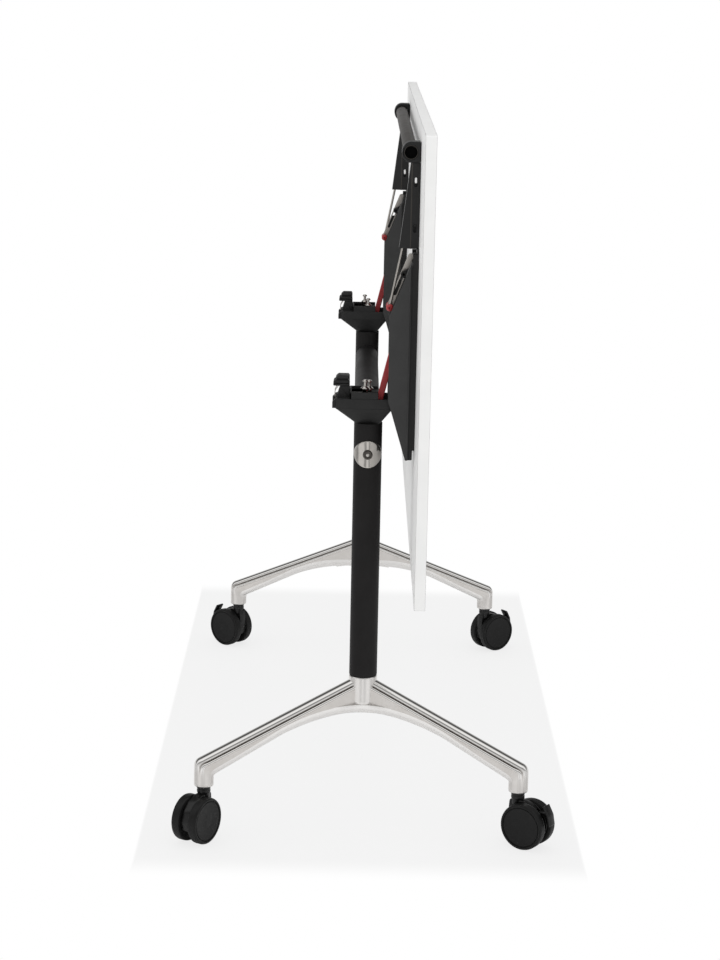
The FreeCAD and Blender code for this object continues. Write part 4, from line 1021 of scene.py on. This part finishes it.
def pale_floor():
    """Pale sheet under the desk; to the eye it is nearly even, with faint shadows, and white at its edges.

    Its lines crowd towards the edges as a sine does, and it is clear when seen from below.
    """
    half, middle, below = (0.85, 0.341), (-0.15, -0.001), 0.0004
    spread = np.sin(np.linspace(-1, 1, 81) * math.pi / 2)
    u, v = np.meshgrid(spread, spread, indexing="ij")
    points = np.stack([middle[0] + u * half[0], middle[1] + v * half[1], 0 * u - below], -1).reshape(-1, 3)
    mesh = bpy.data.meshes.new("floor")
    mesh.from_pydata(points.tolist(), [], strip(numbered(u), False)[:, ::-1].tolist())
    edge = np.maximum(smooth(abs(u), 0.9, 1.0), smooth(abs(v), 0.985, 1.0)).ravel()
    mesh.attributes.new("edge", "FLOAT", "POINT").data.foreach_set("value", edge)
    floor = bpy.data.objects.new("floor", mesh)
    scene.collection.objects.link(floor)
    material, tree, skin, _ = shader("pale_floor", Base_Color=linear("#f0f0f0"), Roughness=0.6,
                                     Specular_IOR_Level=0.2)
    rim = add(tree, "Attribute", {"attribute_name": "edge"}).outputs["Fac"]
    glow = add(tree, "Emission", Color=ramp(tree, rim, [(0.0, "#f7f7f7"), (1.0, "#ffffff")]), Strength=1.0)
    even = add(tree, "MapRange", Value=rim, To_Min=0.85, To_Max=1.0)
    direct = add(tree, "LightPath").outputs["Is Camera Ray"]
    seen = add(tree, "Math", {"operation": "MULTIPLY"}, i0=even, i1=direct)
    mixed = add(tree, "MixShader", Fac=seen, i1=skin, i2=glow)
    behind = add(tree, "NewGeometry").outputs["Backfacing"]
    sided = add(tree, "MixShader", Fac=behind, i1=mixed, i2=add(tree, "BsdfTransparent"))
    feed(tree, tree.nodes["Material Output"], Surface=sided)
    mesh.materials.append(material)


def studio():
    """Even white surround: white to the eye, and to reflections a room of light and dark bands.

    The bands above the horizon run along Y: their place is the angle from +X over the top to -X.
    Below the horizon they are upright, set by the compass angle.
    """
    white, fill = (1, 1, 1, 1), 0.8
    world = bpy.data.worlds.new("studio")
    scene.world = world
    world.use_nodes = True
    tree = world.node_tree
    tree.nodes.clear()
    path = add(tree, "LightPath").outputs
    way = add(tree, "SeparateXYZ", Vector=add(tree, "TexCoord").outputs["Generated"]).outputs

    def angle(y, x):
        """Angle of a direction, from two of its parts."""
        return add(tree, "Math", {"operation": "ARCTAN2"}, i0=way[y], i1=way[x])

    def share(value, low, high):
        """How far a value is on its way from low to high."""
        return add(tree, "MapRange", Value=value, From_Min=low, From_Max=high)

    def blend(at, first, second):
        """Mix of two colours."""
        return add(tree, "Mix", {"data_type": "RGBA"}, i0=at, i6=first, i7=second).outputs[2]

    bands = ramp(tree, share(angle("Z", "X"), 0.0, math.pi), [
        (0.0, 0.75), (0.1, 0.7), (0.17, 0.5), (0.25, 0.18), (0.32, 0.3), (0.38, 0.85), (0.43, 1.0),
        (0.56, 1.0), (0.61, 0.6), (0.66, 0.15), (0.72, 0.07), (0.79, 0.09), (0.85, 0.25), (0.92, 0.55),
        (1.0, 0.85)])
    ground = ramp(tree, share(angle("Y", "X"), -math.pi, math.pi), [
        (0.0, 0.8), (0.16, 0.9), (0.2, 0.25), (0.24, 0.85), (0.28, 0.3), (0.33, 0.95), (0.42, 0.95),
        (0.445, 0.45), (0.47, 0.5), (0.485, 1.0), (0.51, 1.0), (0.53, 0.45), (0.555, 0.5), (0.58, 0.95),
        (0.66, 0.95), (0.69, 0.35), (0.74, 0.9), (0.8, 0.3), (0.86, 0.85), (1.0, 0.8)])
    ground = blend(share(way["Z"], -0.3, -0.6), ground, white)
    room = blend(share(way["Z"], -0.04, 0.02), ground, bands)
    seen = add(tree, "Background", Color=white, Strength=1.0)
    mirrored = add(tree, "Background", Color=room, Strength=1.0)
    lit = add(tree, "Background", Color=white, Strength=fill)
    shiny = add(tree, "Math", {"operation": "MAXIMUM"}, i0=path["Is Glossy Ray"],
                i1=path["Is Transmission Ray"])
    other = add(tree, "MixShader", Fac=shiny, i1=lit, i2=mirrored)
    add(tree, "OutputWorld", Surface=add(tree, "MixShader", Fac=path["Is Camera Ray"], i1=other, i2=seen))


def softbox(name, place, target, size, power):
    """Square area lamp aimed at a point, left out of reflections, which show the studio's bands alone."""
    lamp = bpy.data.lights.new(name, "AREA")
    lamp.size = size
    lamp.energy = power
    holder = bpy.data.objects.new(name, lamp)
    scene.collection.objects.link(holder)
    holder.visible_glossy = False
    holder.location = place
    holder.rotation_euler = (Vector(target) - Vector(place)).to_track_quat("-Z", "Y").to_euler()


def photo_camera():
    """Camera of the photograph: a long lens at the desk's end, a little above it and slightly rolled.

    The focal length is in pixels of a picture that is tall_px high.
    """
    sensor_mm, focal_px, tall_px = 36.0, 2446.47, 960
    place = (4.09964, -0.02093, 1.34203)
    yaw, pitch, roll = (math.radians(a) for a in (0.16, 12.25, 1.16))
    camera = bpy.data.cameras.new("camera")
    camera.sensor_width = sensor_mm
    camera.lens = sensor_mm * focal_px / tall_px
    camera.clip_end = 60
    holder = bpy.data.objects.new("camera", camera)
    scene.collection.objects.link(holder)
    ahead = Vector((-math.cos(yaw) * math.cos(pitch), math.sin(yaw) * math.cos(pitch), -math.sin(pitch)))
    right = Vector((math.sin(yaw), math.cos(yaw), 0))
    up = right.cross(ahead)
    right, up = (right * math.cos(roll) + up * math.sin(roll), up * math.cos(roll) - right * math.sin(roll))
    turn = Matrix((right, up, -ahead)).transposed().to_4x4()
    holder.matrix_world = Matrix.Translation(place) @ turn
    scene.camera = holder


pale_floor()
studio()
softbox("overhead", place=(0.6, -0.2, 3.0), target=(0.2, 0, 0.5), size=2.2, power=12)
softbox("front", place=(3.6, 0.5, 0.9), target=(0.4, 0, 0.6), size=2.0, power=14)
photo_camera()
